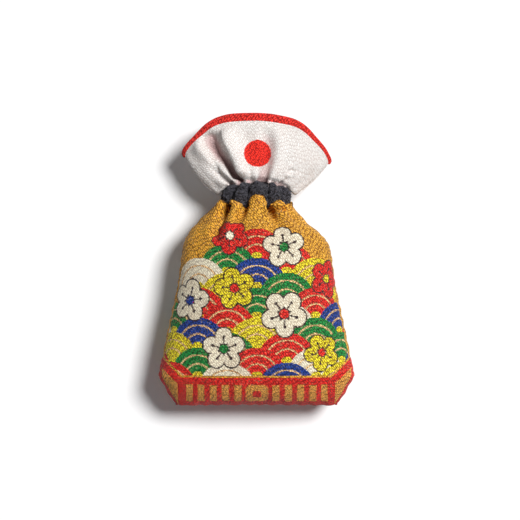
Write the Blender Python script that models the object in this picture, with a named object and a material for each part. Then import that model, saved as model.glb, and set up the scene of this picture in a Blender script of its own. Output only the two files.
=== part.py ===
"""A small brocade drawstring pouch, lying on its back with its front up.

X runs across the pouch, Y from the base to the mouth and Z up, in metres. Two brocade
panels are sewn round their edges over a lining. A cord inside a dark casing gathers the
neck, and above it a pale collar fans out to a red trim round the mouth.
"""

import math

import bmesh
import bpy
from mathutils import Vector

MM = 0.001

# Halves of the pouch: signs along Z and along X
FRONT, BACK = 1, -1
RIGHT, LEFT = 1, -1

# Cloth, cord and the clearances between them
CLOTH = 0.8 * MM
LINING = 0.4 * MM
LAYER_GAP = 0.3 * MM
SEAM_GAP = 0.3 * MM
CORD_DIAMETER = 1.6 * MM

# The body, from the base seam up to the casing
BODY_LENGTH = 82.0 * MM
BASE_HALF_WIDTH = 33.2 * MM
WIDEST_HALF_WIDTH = 40.0 * MM
CORNER_HEIGHT = 12.5 * MM
FRONT_DEPTH = 17.5 * MM
BACK_DEPTH = 15.0 * MM
BASE_ROLL = 15.0 * MM
FLATTENING = 0.5 * MM

# The gathered neck and its casing, which is tallest on the centre line
NECK_HALF_WIDTH = 14.0 * MM
NECK_HALF_DEPTH = 9.4 * MM
CASING_HEIGHT = 9.6 * MM
CASING_SIDE_HEIGHT = 4.8 * MM
CASING_BULGE = 0.8 * MM
CASING_LIP = 0.8 * MM
PLEAT_DEPTH = 1.5 * MM
BODY_PLEAT_REACH = 15.0 * MM
PLEAT_RISE = 4.5 * MM
PLEAT_RISE_REACH = 12.0 * MM
COLLAR_PLEAT_REACH = 16.0 * MM
LINING_TUCK = 9.0 * MM

# The collar that fans out above the casing
COLLAR_HEIGHT = 28.4 * MM
COLLAR_LEFT_RISE = 16.8 * MM
COLLAR_RIGHT_RISE = 13.6 * MM
COLLAR_RISE_LAG = 0.6 * MM
RIM_HALF_WIDTH = 30.6 * MM
RIM_HALF_DEPTH = 5.4 * MM
GATHER_HEIGHT = 4.5 * MM
TRIM_WIDTH = 3.8 * MM
TRIM_PROUD = 0.2 * MM

# Steps of the facets and of the slopes that are measured on the outline
BODY_LUMP_POINTS = 6
COLLAR_LUMP_POINTS = 4
ROLL_ROWS = 4
BODY_ROWS = 12
COLLAR_ROWS = 6
GATHER_ROWS = 3
CASING_ROWS = 3
CORD_STEPS = 24
CORD_RESOLUTION = 2
SLOPE_STEP = 0.5 * MM
NECK_CROWDING = 1.4
SHARP_ANGLE = math.radians(50)

# Half width of the body between the neck and its widest place, from corner to casing.
# The left shoulder is fuller than the right.
SIDE_SHARES = ((0.0, 1.0), (0.20, 0.89), (0.37, 0.795), (0.55, 0.69), (0.69, 0.645))
SHOULDER_SHARES = {
    LEFT: ((0.79, 0.59), (0.87, 0.46), (0.935, 0.275), (0.975, 0.12), (1.0, 0.0)),
    RIGHT: ((0.77, 0.59), (0.83, 0.47), (0.87, 0.34), (0.935, 0.155), (0.975, 0.045), (1.0, 0.0)),
}
# Depth of each half of the body between the neck's and its greatest, from base to casing
DEPTH_SHARES = (
    (0.0, 0.80),
    (0.15, 0.93),
    (0.35, 1.0),
    (0.55, 0.96),
    (0.72, 0.82),
    (0.84, 0.58),
    (0.93, 0.27),
    (1.0, 0.0),
)
# How far the collar's side edge has spread and risen, from casing to rim
SPREAD_SHARES = ((0.0, 0.0), (0.25, 0.30), (0.5, 0.645), (0.75, 0.87), (1.0, 1.0))
RISE_SHARES = ((0.0, 0.0), (0.25, 0.10), (0.5, 0.42), (0.75, 0.745), (1.0, 1.0))
COLLAR_DEPTH_SHARES = ((0.0, 0.0), (0.3, 0.12), (0.7, 0.60), (1.0, 1.0))
# How far the rim stands above its side edges, from the centre line to the side seam
ARCH_SHARES = {
    LEFT: ((0.0, 1.0), (0.2, 0.94), (0.316, 0.87), (0.424, 0.74), (0.665, 0.33), (0.85, 0.11), (1.0, 0.0)),
    RIGHT: ((0.0, 1.0), (0.2, 0.88), (0.394, 0.75), (0.581, 0.47), (0.80, 0.27), (1.0, 0.0)),
}
# Squareness of a section: 2 is an ellipse, and more is fuller towards the seams
BODY_SQUARENESS = {FRONT: 2.3, BACK: 2.8}
NECK_SQUARENESS = 2.2
ROUNDING_SHARES = ((0.0, 0.0), (0.7, 0.0), (1.0, 1.0))
# Where each crease of the gathers lies between the side seams, and how deep and long it is
BODY_CREASE_SHARES = {
    FRONT: (
        (-1.0, 0.0, 1.0),
        (-0.534, 0.9, 1.0),
        (-0.18, 1.0, 1.0),
        (0.218, 1.0, 1.2),
        (0.557, 0.8, 0.8),
        (1.0, 0.0, 1.0),
    ),
    BACK: (
        (-1.0, 0.0, 1.0),
        (-0.52, 0.9, 0.8),
        (-0.02, 0.8, 0.9),
        (0.47, 0.9, 0.8),
        (1.0, 0.0, 1.0),
    ),
}
COLLAR_CREASE_SHARES = {
    FRONT: (
        (-1.0, 0.0, 1.0),
        (-0.76, 0.6, 0.8),
        (-0.534, 0.9, 1.2),
        (-0.314, 1.0, 1.5),
        (-0.107, 0.8, 0.5),
        (0.113, 0.8, 0.9),
        (0.34, 0.7, 0.7),
        (0.56, 0.7, 0.7),
        (0.78, 0.6, 0.6),
        (1.0, 0.0, 1.0),
    ),
    BACK: (
        (-1.0, 0.0, 1.0),
        (-0.70, 0.7, 0.8),
        (-0.42, 1.0, 1.1),
        (-0.14, 0.8, 0.8),
        (0.13, 1.0, 1.2),
        (0.41, 0.8, 0.9),
        (0.70, 0.7, 0.8),
        (1.0, 0.0, 1.0),
    ),
}
# How far the body's pleats rise into the casing, between and at its creases
PLEAT_RISE_SHARES = {
    FRONT: (
        (-1.0, 0.42),
        (-0.77, 0.42),
        (-0.534, 0.0),
        (-0.357, 0.42),
        (-0.18, 0.0),
        (-0.085, 0.80),
        (0.02, 1.0),
        (0.125, 0.80),
        (0.218, -0.1),
        (0.388, 0.40),
        (0.557, 0.05),
        (0.78, 0.15),
        (1.0, 0.10),
    ),
    BACK: (
        (-1.0, 0.42),
        (-0.76, 0.35),
        (-0.52, 0.0),
        (-0.27, 0.45),
        (-0.02, 0.0),
        (0.225, 0.50),
        (0.47, 0.0),
        (0.735, 0.30),
        (1.0, 0.10),
    ),
}
CREASE_SHARPNESS = 1.5
FADE_POWER = 1.3
CASING_BULGE_SHARES = (0.0, 0.25, 0.5, 0.75, 1.0)
CORD_END_SHARE = 0.96

# Levels and depths that follow from the sizes above
PANEL_INSET = CLOTH + LAYER_GAP
FACED_THICKNESS = PANEL_INSET + LINING
CORD_INSET = PANEL_INSET + PLEAT_DEPTH + CORD_DIAMETER / 2
CASING_DEPTH = CORD_INSET + CORD_DIAMETER / 2 + LAYER_GAP
NECK_LINING_INSET = CASING_DEPTH + LAYER_GAP
LIP_INSET = PANEL_INSET + 2 * LAYER_GAP
SEAM_HEIGHT = BACK_DEPTH + SEAM_GAP / 2 - FLATTENING
BASE_LEVEL = -(BODY_LENGTH + CASING_HEIGHT + COLLAR_HEIGHT) / 2
CASING_LEVEL = BASE_LEVEL + BODY_LENGTH
COLLAR_LEVEL = CASING_LEVEL + CASING_HEIGHT
COLLAR_SIDE_LEVEL = CASING_LEVEL + CASING_SIDE_HEIGHT


def eased(shares, at):
    """Value at one place of the smooth curve through (place, value) points, with no overshoot."""
    at = min(max(at, shares[0][0]), shares[-1][0])
    places = [point[0] for point in shares]
    values = [point[1] for point in shares]
    runs = [b - a for a, b in zip(places, places[1:])]
    chords = [(b - a) / run for a, b, run in zip(values, values[1:], runs)]
    slopes = [chords[0]]
    for before, after in zip(chords, chords[1:]):
        level = before * after <= 0
        slopes.append(0.0 if level else 2 * before * after / (before + after))
    slopes.append(chords[-1])
    index = max(i for i in range(len(runs)) if places[i] <= at)
    run = runs[index]
    t = (at - places[index]) / run
    start = values[index] * (1 + 2 * t) + run * slopes[index] * t
    end = values[index + 1] * (3 - 2 * t) - run * slopes[index + 1] * (1 - t)
    return start * (1 - t) ** 2 + end * t**2


def slope_of(curve, at):
    """Slope of a curve of one length, measured over a short step."""
    return (curve(at + SLOPE_STEP) - curve(at - SLOPE_STEP)) / (2 * SLOPE_STEP)


def smooth_step(share):
    """0 before 0, 1 after 1, and level at both."""
    share = min(max(share, 0.0), 1.0)
    return share * share * (3 - 2 * share)


def half_of(turn):
    """Left or right half that a turn lies in."""
    return LEFT if turn < 0 else RIGHT


def crease_dip(creases, turn, distance, reach):
    """Depth to which the creases draw the cloth in, at one turn and distance from the neck."""
    index = max(i for i in range(len(creases) - 1) if creases[i][0] <= turn)
    left, right = creases[index : index + 2]
    across = (turn - left[0]) / (right[0] - left[0])
    dip = 0.0
    for crease, away in ((left, across), (right, 1 - across)):
        near = max(0.0, 1 - 2 * away) ** CREASE_SHARPNESS
        faded = math.exp(-((distance / (reach * crease[2])) ** FADE_POWER))
        dip += crease[1] * near * faded
    return PLEAT_DEPTH * dip


def on_section(section, side, turn, dip=0.0, flattened=0.0):
    """Point on a section, where turn runs from -1 at the left seam to 1 at the right one.

    A section is its half width, its depth, its level at the side seams and on the centre
    line, and its squareness. The dip draws the point in, square to the section. Flattened
    is how far the section's rise follows the rim's own arch instead of a round one.
    """
    half_width, depth, side_level, centre_level, squareness = section
    angle = turn * math.pi / 2
    across = abs(math.sin(angle)) ** (2 / squareness)
    up = max(math.cos(angle), 0.0) ** (2 / squareness)
    x, z = half_width * across, depth * up
    if dip and depth > dip:
        lean = Vector((across ** (squareness - 1) / half_width, up ** (squareness - 1) / depth))
        lean.normalize()
        x -= dip * lean.x
        z -= dip * lean.y
    arch = math.cos(angle)
    if flattened:
        arch += flattened * (eased(ARCH_SHARES[half_of(turn)], abs(turn)) - arch)
    level = side_level + (centre_level - side_level) * arch
    x = math.copysign(x, turn) if turn else 0.0
    return Vector((x, level, SEAM_HEIGHT + side * (SEAM_GAP / 2 + z)))


def body_half_width(half, height):
    """Half width of the body's left or right half at a height above the base seam."""
    if height < CORNER_HEIGHT:
        climb = max(height, 0.0) / CORNER_HEIGHT
        return BASE_HALF_WIDTH + (WIDEST_HALF_WIDTH - BASE_HALF_WIDTH) * climb
    climb = (height - CORNER_HEIGHT) / (BODY_LENGTH - CORNER_HEIGHT)
    spread = WIDEST_HALF_WIDTH - NECK_HALF_WIDTH
    return NECK_HALF_WIDTH + spread * eased(SIDE_SHARES + SHOULDER_SHARES[half], climb)


def body_depth(side, height):
    """Depth of one half of the body, before the base rolls in to its seam."""
    greatest = FRONT_DEPTH if side == FRONT else BACK_DEPTH
    swell = eased(DEPTH_SHARES, height / BODY_LENGTH)
    return NECK_HALF_DEPTH + (greatest - NECK_HALF_DEPTH) * swell


def body_section(side, half, height, inset, slanted):
    """Section of half the body at a height, inside the outer face by the inset.

    Slanted is 1 where the inset is measured square to the sloping cloth, and 0 where it is
    measured level, as in the neck.
    """
    width_slope = slanted * slope_of(lambda at: body_half_width(half, at), height)
    depth_slope = slanted * slope_of(lambda at: body_depth(side, at), height)
    half_width = body_half_width(half, height) - inset * math.hypot(1, width_slope)
    depth = body_depth(side, height) - inset * math.hypot(1, depth_slope)
    climb = min(max((height - inset) / (BASE_ROLL - inset), 0.0), 1.0)
    depth *= math.sqrt(1 - (1 - climb) ** 2)
    rounding = eased(ROUNDING_SHARES, height / BODY_LENGTH)
    squareness = BODY_SQUARENESS[side] + (NECK_SQUARENESS - BODY_SQUARENESS[side]) * rounding
    level = BASE_LEVEL + height
    return half_width, depth, level, level, squareness


def pleat_rise(side, turn):
    """How far the body's upper edge stands above the casing's lowest place."""
    return PLEAT_RISE * eased(PLEAT_RISE_SHARES[side], turn)


def body_point(side, height, turn, inset, pleated=1.0):
    """Point of the body, flat where the back lies on the surface under it."""
    from_neck = max(BODY_LENGTH - height, 0.0)
    dip = pleated * crease_dip(BODY_CREASE_SHARES[side], turn, from_neck, BODY_PLEAT_REACH)
    section = body_section(side, half_of(turn), height, inset, pleated)
    point = on_section(section, side, turn, dip)
    point.y += pleated * pleat_rise(side, turn) * smooth_step(1 - from_neck / PLEAT_RISE_REACH)
    point.z = max(point.z, inset)
    return point


def casing_section(climb, inset):
    """Section of the neck, with climb from 0 at the casing's lower edge to 1 at its upper."""
    half_width = NECK_HALF_WIDTH - inset
    depth = NECK_HALF_DEPTH - inset
    side_level = CASING_LEVEL + CASING_SIDE_HEIGHT * climb
    centre_level = CASING_LEVEL + CASING_HEIGHT * climb
    return half_width, depth, side_level, centre_level, NECK_SQUARENESS


def casing_point(side, climb, turn, inset, pleated):
    """Point of the casing, or of what lies inside it."""
    dip = pleated * crease_dip(BODY_CREASE_SHARES[side], turn, 0.0, BODY_PLEAT_REACH)
    point = on_section(casing_section(climb, inset), side, turn, dip)
    point.y += pleated * pleat_rise(side, turn) * (1 - climb)
    return point


def collar_edge(half, climb):
    """Half width and level of the collar's side edge, with climb from 0 at the casing to 1."""
    spread = RIM_HALF_WIDTH - NECK_HALF_WIDTH
    half_width = NECK_HALF_WIDTH + spread * eased(SPREAD_SHARES, climb)
    level = COLLAR_SIDE_LEVEL + COLLAR_RISE_LAG * climb
    rise = COLLAR_LEFT_RISE if half == LEFT else COLLAR_RIGHT_RISE
    level += (rise - COLLAR_RISE_LAG) * eased(RISE_SHARES, climb)
    return Vector((half_width, level))


def collar_section(half, climb, inset):
    """Section of half the collar. Its edge moves in square to the edge's own line."""
    step = SLOPE_STEP / COLLAR_HEIGHT
    edge = collar_edge(half, climb)
    along = (collar_edge(half, climb + step) - collar_edge(half, climb - step)).normalized()
    edge += Vector((-along.y, along.x)) * inset
    thinning = (NECK_HALF_DEPTH - RIM_HALF_DEPTH) * eased(COLLAR_DEPTH_SHARES, climb)
    depth = NECK_HALF_DEPTH - thinning - inset
    centre_level = COLLAR_LEVEL + COLLAR_HEIGHT * climb
    return edge.x, depth, edge.y, centre_level, NECK_SQUARENESS


def collar_point(side, climb, turn, inset):
    """Point of the collar, with its pleats fading towards the rim."""
    distance = climb * COLLAR_HEIGHT
    dip = crease_dip(COLLAR_CREASE_SHARES[side], turn, distance, COLLAR_PLEAT_REACH)
    section = collar_section(half_of(turn), climb, inset)
    return on_section(section, side, turn, dip, flattened=climb)


def turns_of(creases, steps):
    """Turns of a section's points, evenly spaced in each lump between two creases."""
    places = [crease[0] for crease in creases]
    turns = [
        left + (right - left) * step / steps
        for left, right in zip(places, places[1:])
        for step in range(steps)
    ]
    return turns + [places[-1]]


def body_turns(side):
    """Turns of the body, its lining and its casing."""
    return turns_of(BODY_CREASE_SHARES[side], BODY_LUMP_POINTS)


def collar_turns(side):
    """Turns of the collar's layers, with fewer in each lump of the back."""
    steps = COLLAR_LUMP_POINTS if side == FRONT else COLLAR_LUMP_POINTS - 1
    return turns_of(COLLAR_CREASE_SHARES[side], steps)


def evenly(start, end, rows):
    """Values from start to end, ends included."""
    return [start + (end - start) * row / rows for row in range(rows + 1)]


def body_heights(inset):
    """Heights of the body's rows, close together where the base rolls in and at the neck."""
    corner_climb = (CORNER_HEIGHT - inset) / (BASE_ROLL - inset)
    corner_angle = math.acos(max(1 - corner_climb, 0.0))
    heights = [
        inset + (BASE_ROLL - inset) * (1 - math.cos(corner_angle * row / ROLL_ROWS))
        for row in range(ROLL_ROWS)
    ]
    above = BODY_LENGTH - CORNER_HEIGHT
    climbs = [1 - (1 - share) ** NECK_CROWDING for share in evenly(0.0, 1.0, BODY_ROWS)]
    return heights + [CORNER_HEIGHT + above * climb for climb in climbs]


def collections():
    """Clears the scene and returns the collection of the pouch's pieces."""
    for old in list(bpy.data.objects):
        bpy.data.objects.remove(old, do_unlink=True)
    pieces = bpy.data.collections.new("drawstring_pouch")
    bpy.context.scene.collection.children.link(pieces)
    return pieces


def material(name, colour, roughness, sheen=0.3):
    """Cloth material of one colour."""
    made = bpy.data.materials.new(name)
    made.use_nodes = True
    shader = made.node_tree.nodes["Principled BSDF"]
    shader.inputs["Base Color"].default_value = (*colour, 1.0)
    shader.inputs["Roughness"].default_value = roughness
    shader.inputs["Metallic"].default_value = 0.0
    shader.inputs["Sheen Weight"].default_value = sheen
    made.diffuse_color = (*colour, 1.0)
    return made


def add_piece(name, mesh, pieces, finish):
    """Puts a mesh in the scene as one named piece."""
    mesh.materials.append(finish)
    piece = bpy.data.objects.new(name, mesh)
    pieces.objects.link(piece)
    return piece


def closed_mesh(name, points, faces):
    """Mesh of one closed body, with its faces pointing out."""
    body = bmesh.new()
    corners = [body.verts.new(point) for point in points]
    for face in faces:
        body.faces.new([corners[i] for i in face])
    bmesh.ops.recalc_face_normals(body, faces=body.faces)
    if body.calc_volume(signed=True) < 0:
        bmesh.ops.reverse_faces(body, faces=body.faces)
    mesh = bpy.data.meshes.new(name)
    body.to_mesh(mesh)
    body.free()
    mesh.shade_smooth()
    mesh.set_sharp_from_angle(angle=SHARP_ANGLE)
    return mesh


def shell(name, pieces, finish, outer_rows, inner_rows):
    """One layer of cloth: a closed loft between an outer and an inner sheet of points."""
    rows, columns = len(outer_rows), len(outer_rows[0])
    points = [p for row in outer_rows + inner_rows for p in row]
    inner_start = rows * columns

    def quads(start):
        return [
            (start + r * columns + c, start + r * columns + c + 1,
             start + (r + 1) * columns + c + 1, start + (r + 1) * columns + c)
            for r in range(rows - 1)
            for c in range(columns - 1)
        ]

    border = list(range(columns))
    border += [r * columns + columns - 1 for r in range(1, rows)]
    border += [(rows - 1) * columns + c for c in range(columns - 2, -1, -1)]
    border += [r * columns for r in range(rows - 2, 0, -1)]
    rims = [
        (a, b, inner_start + b, inner_start + a)
        for a, b in zip(border, border[1:] + border[:1])
    ]
    inner = [tuple(reversed(quad)) for quad in quads(inner_start)]
    mesh = closed_mesh(name, points, quads(0) + inner + rims)
    return add_piece(name, mesh, pieces, finish)


def body_panel(name, pieces, finish, side):
    """Brocade panel from the base seam to the casing."""
    sheets = [
        [[body_point(side, h, turn, inset) for turn in body_turns(side)] for h in body_heights(inset)]
        for inset in (0.0, CLOTH)
    ]
    return shell(name, pieces, finish, *sheets)


def lining_sheet(side, inset):
    """Points of one face of the lining, which draws in at the neck and lines the casing."""
    neck_inset = NECK_LINING_INSET + inset - PANEL_INSET
    sheet = []
    for height in body_heights(inset):
        tucked = smooth_step((height - BODY_LENGTH + LINING_TUCK) / LINING_TUCK)
        row_inset = inset + (neck_inset - inset) * tucked
        sheet.append([body_point(side, height, turn, row_inset, 1 - tucked) for turn in body_turns(side)])
    for climb in evenly(0.0, 1.0, CASING_ROWS)[1:]:
        sheet.append([casing_point(side, climb, turn, neck_inset, 0.0) for turn in body_turns(side)])
    return sheet


def lining_panel(name, pieces, finish, side):
    """Lining panel from the base seam to the top of the casing."""
    outer, inner = (lining_sheet(side, inset) for inset in (PANEL_INSET, PANEL_INSET + LINING))
    return shell(name, pieces, finish, outer, inner)


def casing_outline():
    """Corners of the casing's channel section, as (climb, inset, how far it follows the pleats)."""
    lip = CASING_LIP / CASING_HEIGHT
    puffed = [(share, -CASING_BULGE * math.sin(math.pi * share)) for share in CASING_BULGE_SHARES]
    outside = [(share, inset, 1.0) for share, inset in puffed]
    inside = [(1 - lip, CLOTH, 1.0), (0.5, CLOTH - CASING_BULGE, 1.0), (lip, CLOTH, 1.0)]
    upper_lip = [(1.0, CASING_DEPTH, 0.0), (1 - lip, CASING_DEPTH, 0.0)]
    above_pleats = [(lip, LIP_INSET, 1.0)]
    lower_lip = [(lip, CASING_DEPTH, 0.0), (0.0, CASING_DEPTH, 0.0), (0.0, LIP_INSET, 1.0)]
    return outside + upper_lip + inside + above_pleats + lower_lip


def casing(name, pieces, finish, side):
    """Half of the casing: a channel of cloth, open towards the cord, swept from seam to seam."""
    outline = casing_outline()
    turns = body_turns(side)
    clear = SEAM_GAP / CASING_HEIGHT
    points = [
        casing_point(side, clear + (1 - 2 * clear) * climb, turn, inset, pleated)
        for turn in turns
        for climb, inset, pleated in outline
    ]
    corners = len(outline)
    faces = [
        (s * corners + c, s * corners + (c + 1) % corners,
         (s + 1) * corners + (c + 1) % corners, (s + 1) * corners + c)
        for s in range(len(turns) - 1)
        for c in range(corners)
    ]
    faces.append(tuple(range(corners)))
    faces.append(tuple(reversed(range((len(turns) - 1) * corners, len(turns) * corners))))
    return add_piece(name, closed_mesh(name, points, faces), pieces, finish)


def drawcord(name, pieces, finish):
    """Cord round the neck inside the casing, with both ends caught in the right side seam."""
    curve = bpy.data.curves.new(name, "CURVE")
    curve.dimensions = "3D"
    curve.bevel_depth = CORD_DIAMETER / 2
    curve.bevel_resolution = CORD_RESOLUTION
    curve.use_fill_caps = True
    turns = evenly(CORD_END_SHARE, -1.0, CORD_STEPS)
    loop = [(BACK, turn) for turn in turns] + [(FRONT, turn) for turn in reversed(turns[:-1])]
    spline = curve.splines.new("POLY")
    spline.points.add(len(loop) - 1)
    section = casing_section(0.5, CORD_INSET)
    for point, (side, turn) in zip(spline.points, loop):
        place = on_section(section, side, turn)
        place.z -= side * SEAM_GAP / 2
        point.co = (*place, 1.0)
    piece = bpy.data.objects.new(name, curve)
    curve.materials.append(finish)
    pieces.objects.link(piece)
    return piece


def collar_layer(name, pieces, finish, side, climbs, insets):
    """Part of the collar between two insets, with its rows at the given climbs."""
    sheets = [
        [[collar_point(side, climb, turn, inset) for turn in collar_turns(side)] for climb in climbs]
        for inset in insets
    ]
    return shell(name, pieces, finish, *sheets)


def collar_half(pieces, finishes, side, word):
    """Gathered root, outer cloth, facing and mouth trim of one half of the collar."""
    clear = SEAM_GAP / COLLAR_HEIGHT
    root = GATHER_HEIGHT / COLLAR_HEIGHT
    trim = 1 - TRIM_WIDTH / COLLAR_HEIGHT
    cloth_rows = evenly(root + clear, trim - clear, COLLAR_ROWS)
    collar_layer(f"collar_gather_{word}", pieces, finishes["collar"], side,
                 evenly(clear, root, GATHER_ROWS), (0.0, FACED_THICKNESS))
    collar_layer(f"collar_{word}", pieces, finishes["collar"], side,
                 cloth_rows, (0.0, CLOTH))
    collar_layer(f"collar_facing_{word}", pieces, finishes["lining"], side,
                 cloth_rows, (PANEL_INSET, FACED_THICKNESS))
    collar_layer(f"mouth_trim_{word}", pieces, finishes["trim"], side,
                 (trim, 1.0), (-TRIM_PROUD, FACED_THICKNESS + TRIM_PROUD))


def main():
    pieces = collections()
    finishes = {
        "brocade": material("gold_brocade", (0.62, 0.36, 0.09), 0.6),
        "casing": material("charcoal_crepe", (0.03, 0.03, 0.035), 0.8),
        "collar": material("cream_crepe", (0.88, 0.84, 0.80), 0.8),
        "trim": material("red_trim", (0.70, 0.03, 0.02), 0.7),
        "lining": material("ivory_lining", (0.80, 0.74, 0.62), 0.5),
        "cord": material("charcoal_cord", (0.04, 0.04, 0.045), 0.8),
    }
    for side, word in ((FRONT, "front"), (BACK, "back")):
        body_panel(f"body_{word}", pieces, finishes["brocade"], side)
        lining_panel(f"lining_{word}", pieces, finishes["lining"], side)
        casing(f"casing_{word}", pieces, finishes["casing"], side)
        collar_half(pieces, finishes, side, word)
    drawcord("drawcord", pieces, finishes["cord"])


main()
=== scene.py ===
"""Looks of the brocade drawstring pouch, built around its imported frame.

The cloth surfaces follow the same sizes as the solids, with finer folds, and carry their own
cloth coordinates in millimetres, from which the woven patterns are drawn.
"""

import math

import bpy
import numpy as np
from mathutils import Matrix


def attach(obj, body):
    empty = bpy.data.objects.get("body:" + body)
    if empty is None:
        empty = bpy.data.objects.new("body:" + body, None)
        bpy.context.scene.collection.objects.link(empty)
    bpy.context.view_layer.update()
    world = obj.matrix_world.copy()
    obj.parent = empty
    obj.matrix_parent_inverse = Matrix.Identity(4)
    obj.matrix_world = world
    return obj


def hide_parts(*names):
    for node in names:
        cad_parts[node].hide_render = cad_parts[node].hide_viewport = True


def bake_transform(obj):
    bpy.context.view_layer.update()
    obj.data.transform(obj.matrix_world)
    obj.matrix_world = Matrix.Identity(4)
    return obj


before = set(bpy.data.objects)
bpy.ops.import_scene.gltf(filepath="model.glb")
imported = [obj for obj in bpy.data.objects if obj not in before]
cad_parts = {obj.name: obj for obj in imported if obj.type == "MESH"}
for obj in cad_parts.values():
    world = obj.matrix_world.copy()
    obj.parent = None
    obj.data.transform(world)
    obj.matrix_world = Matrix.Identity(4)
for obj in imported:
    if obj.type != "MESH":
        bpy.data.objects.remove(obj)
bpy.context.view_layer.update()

MM = 0.001

# Halves of the pouch: signs along Z and along X
FRONT, BACK = 1, -1
RIGHT, LEFT = 1, -1
SIDE_WORDS = {FRONT: "front", BACK: "back"}

# Cloth and the clearances between its layers
CLOTH = 0.8 * MM
LINING = 0.4 * MM
LAYER_GAP = 0.3 * MM
SEAM_GAP = 0.3 * MM
CORD_DIAMETER = 1.6 * MM

# The body, from the base seam up to the casing
BODY_LENGTH = 82.0 * MM
BASE_HALF_WIDTH = 33.2 * MM
WIDEST_HALF_WIDTH = 40.0 * MM
CORNER_HEIGHT = 12.5 * MM
FRONT_DEPTH = 17.5 * MM
BACK_DEPTH = 15.0 * MM
BASE_ROLL = 15.0 * MM
FLATTENING = 0.5 * MM

# The gathered neck, its casing and the collar above it
NECK_HALF_WIDTH = 14.0 * MM
NECK_HALF_DEPTH = 9.4 * MM
CASING_HEIGHT = 9.6 * MM
CASING_SIDE_HEIGHT = 4.8 * MM
PLEAT_DEPTH = 1.5 * MM
BODY_PLEAT_REACH = 15.0 * MM
PLEAT_RISE = 4.5 * MM
PLEAT_RISE_REACH = 12.0 * MM
COLLAR_PLEAT_REACH = 16.0 * MM
LINING_TUCK = 9.0 * MM
COLLAR_HEIGHT = 28.4 * MM
COLLAR_LEFT_RISE = 16.8 * MM
COLLAR_RIGHT_RISE = 13.6 * MM
COLLAR_RISE_LAG = 0.6 * MM
RIM_HALF_WIDTH = 30.6 * MM
RIM_HALF_DEPTH = 5.4 * MM
GATHER_HEIGHT = 4.5 * MM
TRIM_WIDTH = 3.8 * MM
SLOPE_STEP = 0.5 * MM

# Shares of the outline, the depth and the rises, by the share of the way up the cloth or from
# the centre line to a side seam. They follow the solids' shares closely.
SIDE_SHARES = ((0.0, 1.0), (0.20, 0.89), (0.37, 0.795), (0.55, 0.69), (0.69, 0.645))
SHOULDER_SHARES = {
    LEFT: ((0.79, 0.59), (0.87, 0.46), (0.935, 0.275), (0.975, 0.12), (1.0, 0.0)),
    RIGHT: ((0.77, 0.59), (0.83, 0.47), (0.87, 0.34), (0.935, 0.155), (0.975, 0.045), (1.0, 0.0)),
}
DEPTH_SHARES = (
    (0.0, 0.80), (0.15, 0.93), (0.35, 1.0), (0.55, 0.96),
    (0.72, 0.82), (0.84, 0.58), (0.93, 0.27), (1.0, 0.0),
)
SPREAD_SHARES = ((0.0, 0.0), (0.25, 0.30), (0.5, 0.645), (0.75, 0.87), (1.0, 1.0))
RISE_SHARES = ((0.0, 0.0), (0.25, 0.07), (0.5, 0.385), (0.75, 0.73), (1.0, 1.0))
COLLAR_DEPTH_SHARES = ((0.0, 0.0), (0.3, 0.12), (0.7, 0.60), (1.0, 1.0))
ARCH_SHARES = {
    LEFT: (
        (0.0, 0.96), (0.1, 0.957), (0.2, 0.94), (0.316, 0.87),
        (0.424, 0.74), (0.665, 0.33), (0.85, 0.11), (1.0, 0.0),
    ),
    RIGHT: (
        (0.0, 0.9665), (0.1, 0.95), (0.2, 0.91), (0.3, 0.855), (0.39, 0.765), (0.48, 0.635),
        (0.56, 0.50), (0.64, 0.38), (0.75, 0.235), (0.86, 0.10), (1.0, 0.0),
    ),
}
BODY_SQUARENESS = {FRONT: 2.3, BACK: 2.8}
NECK_SQUARENESS = 2.2
ROUNDING_SHARES = ((0.0, 0.0), (0.7, 0.0), (1.0, 1.0))

# Creases between the side seams, which are at -1 and 1: each has its turn, and its depth and its
# reach as shares
BODY_CREASE_SHARES = {
    FRONT: ((-0.534, 0.9, 1.0), (-0.18, 1.0, 1.0), (0.218, 1.0, 1.2), (0.557, 0.8, 0.8)),
    BACK: ((-0.52, 0.9, 0.8), (-0.02, 0.8, 0.9), (0.47, 0.9, 0.8)),
}
COLLAR_CREASE_SHARES = {
    FRONT: (
        (-0.76, 0.6, 0.8), (-0.534, 0.9, 1.2), (-0.314, 1.0, 1.5), (-0.107, 0.8, 0.5),
        (0.113, 0.8, 0.9), (0.34, 0.7, 0.7), (0.56, 0.7, 0.7), (0.78, 0.6, 0.6),
    ),
    BACK: (
        (-0.70, 0.7, 0.8), (-0.42, 1.0, 1.1), (-0.14, 0.8, 0.8),
        (0.13, 1.0, 1.2), (0.41, 0.8, 0.9), (0.70, 0.7, 0.8),
    ),
}
CREASE_SHARPNESS = 1.5
FADE_POWER = 1.3

# Rise of the body's upper edge, by the turn from seam to seam
PLEAT_RISE_SHARES = {
    FRONT: (
        (-1.0, 0.0), (-0.74, 0.17), (-0.534, -0.05), (-0.34, 0.12), (-0.18, -0.05), (-0.085, 0.66),
        (0.02, 0.84), (0.125, 0.66), (0.218, -0.1), (0.388, 0.33), (0.557, 0.0), (0.78, 0.05),
        (1.0, -0.2),
    ),
    BACK: (
        (-1.0, 0.0), (-0.76, 0.35), (-0.52, 0.0), (-0.27, 0.45), (-0.02, 0.0),
        (0.225, 0.50), (0.47, 0.0), (0.735, 0.30), (1.0, -0.2),
    ),
}

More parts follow.
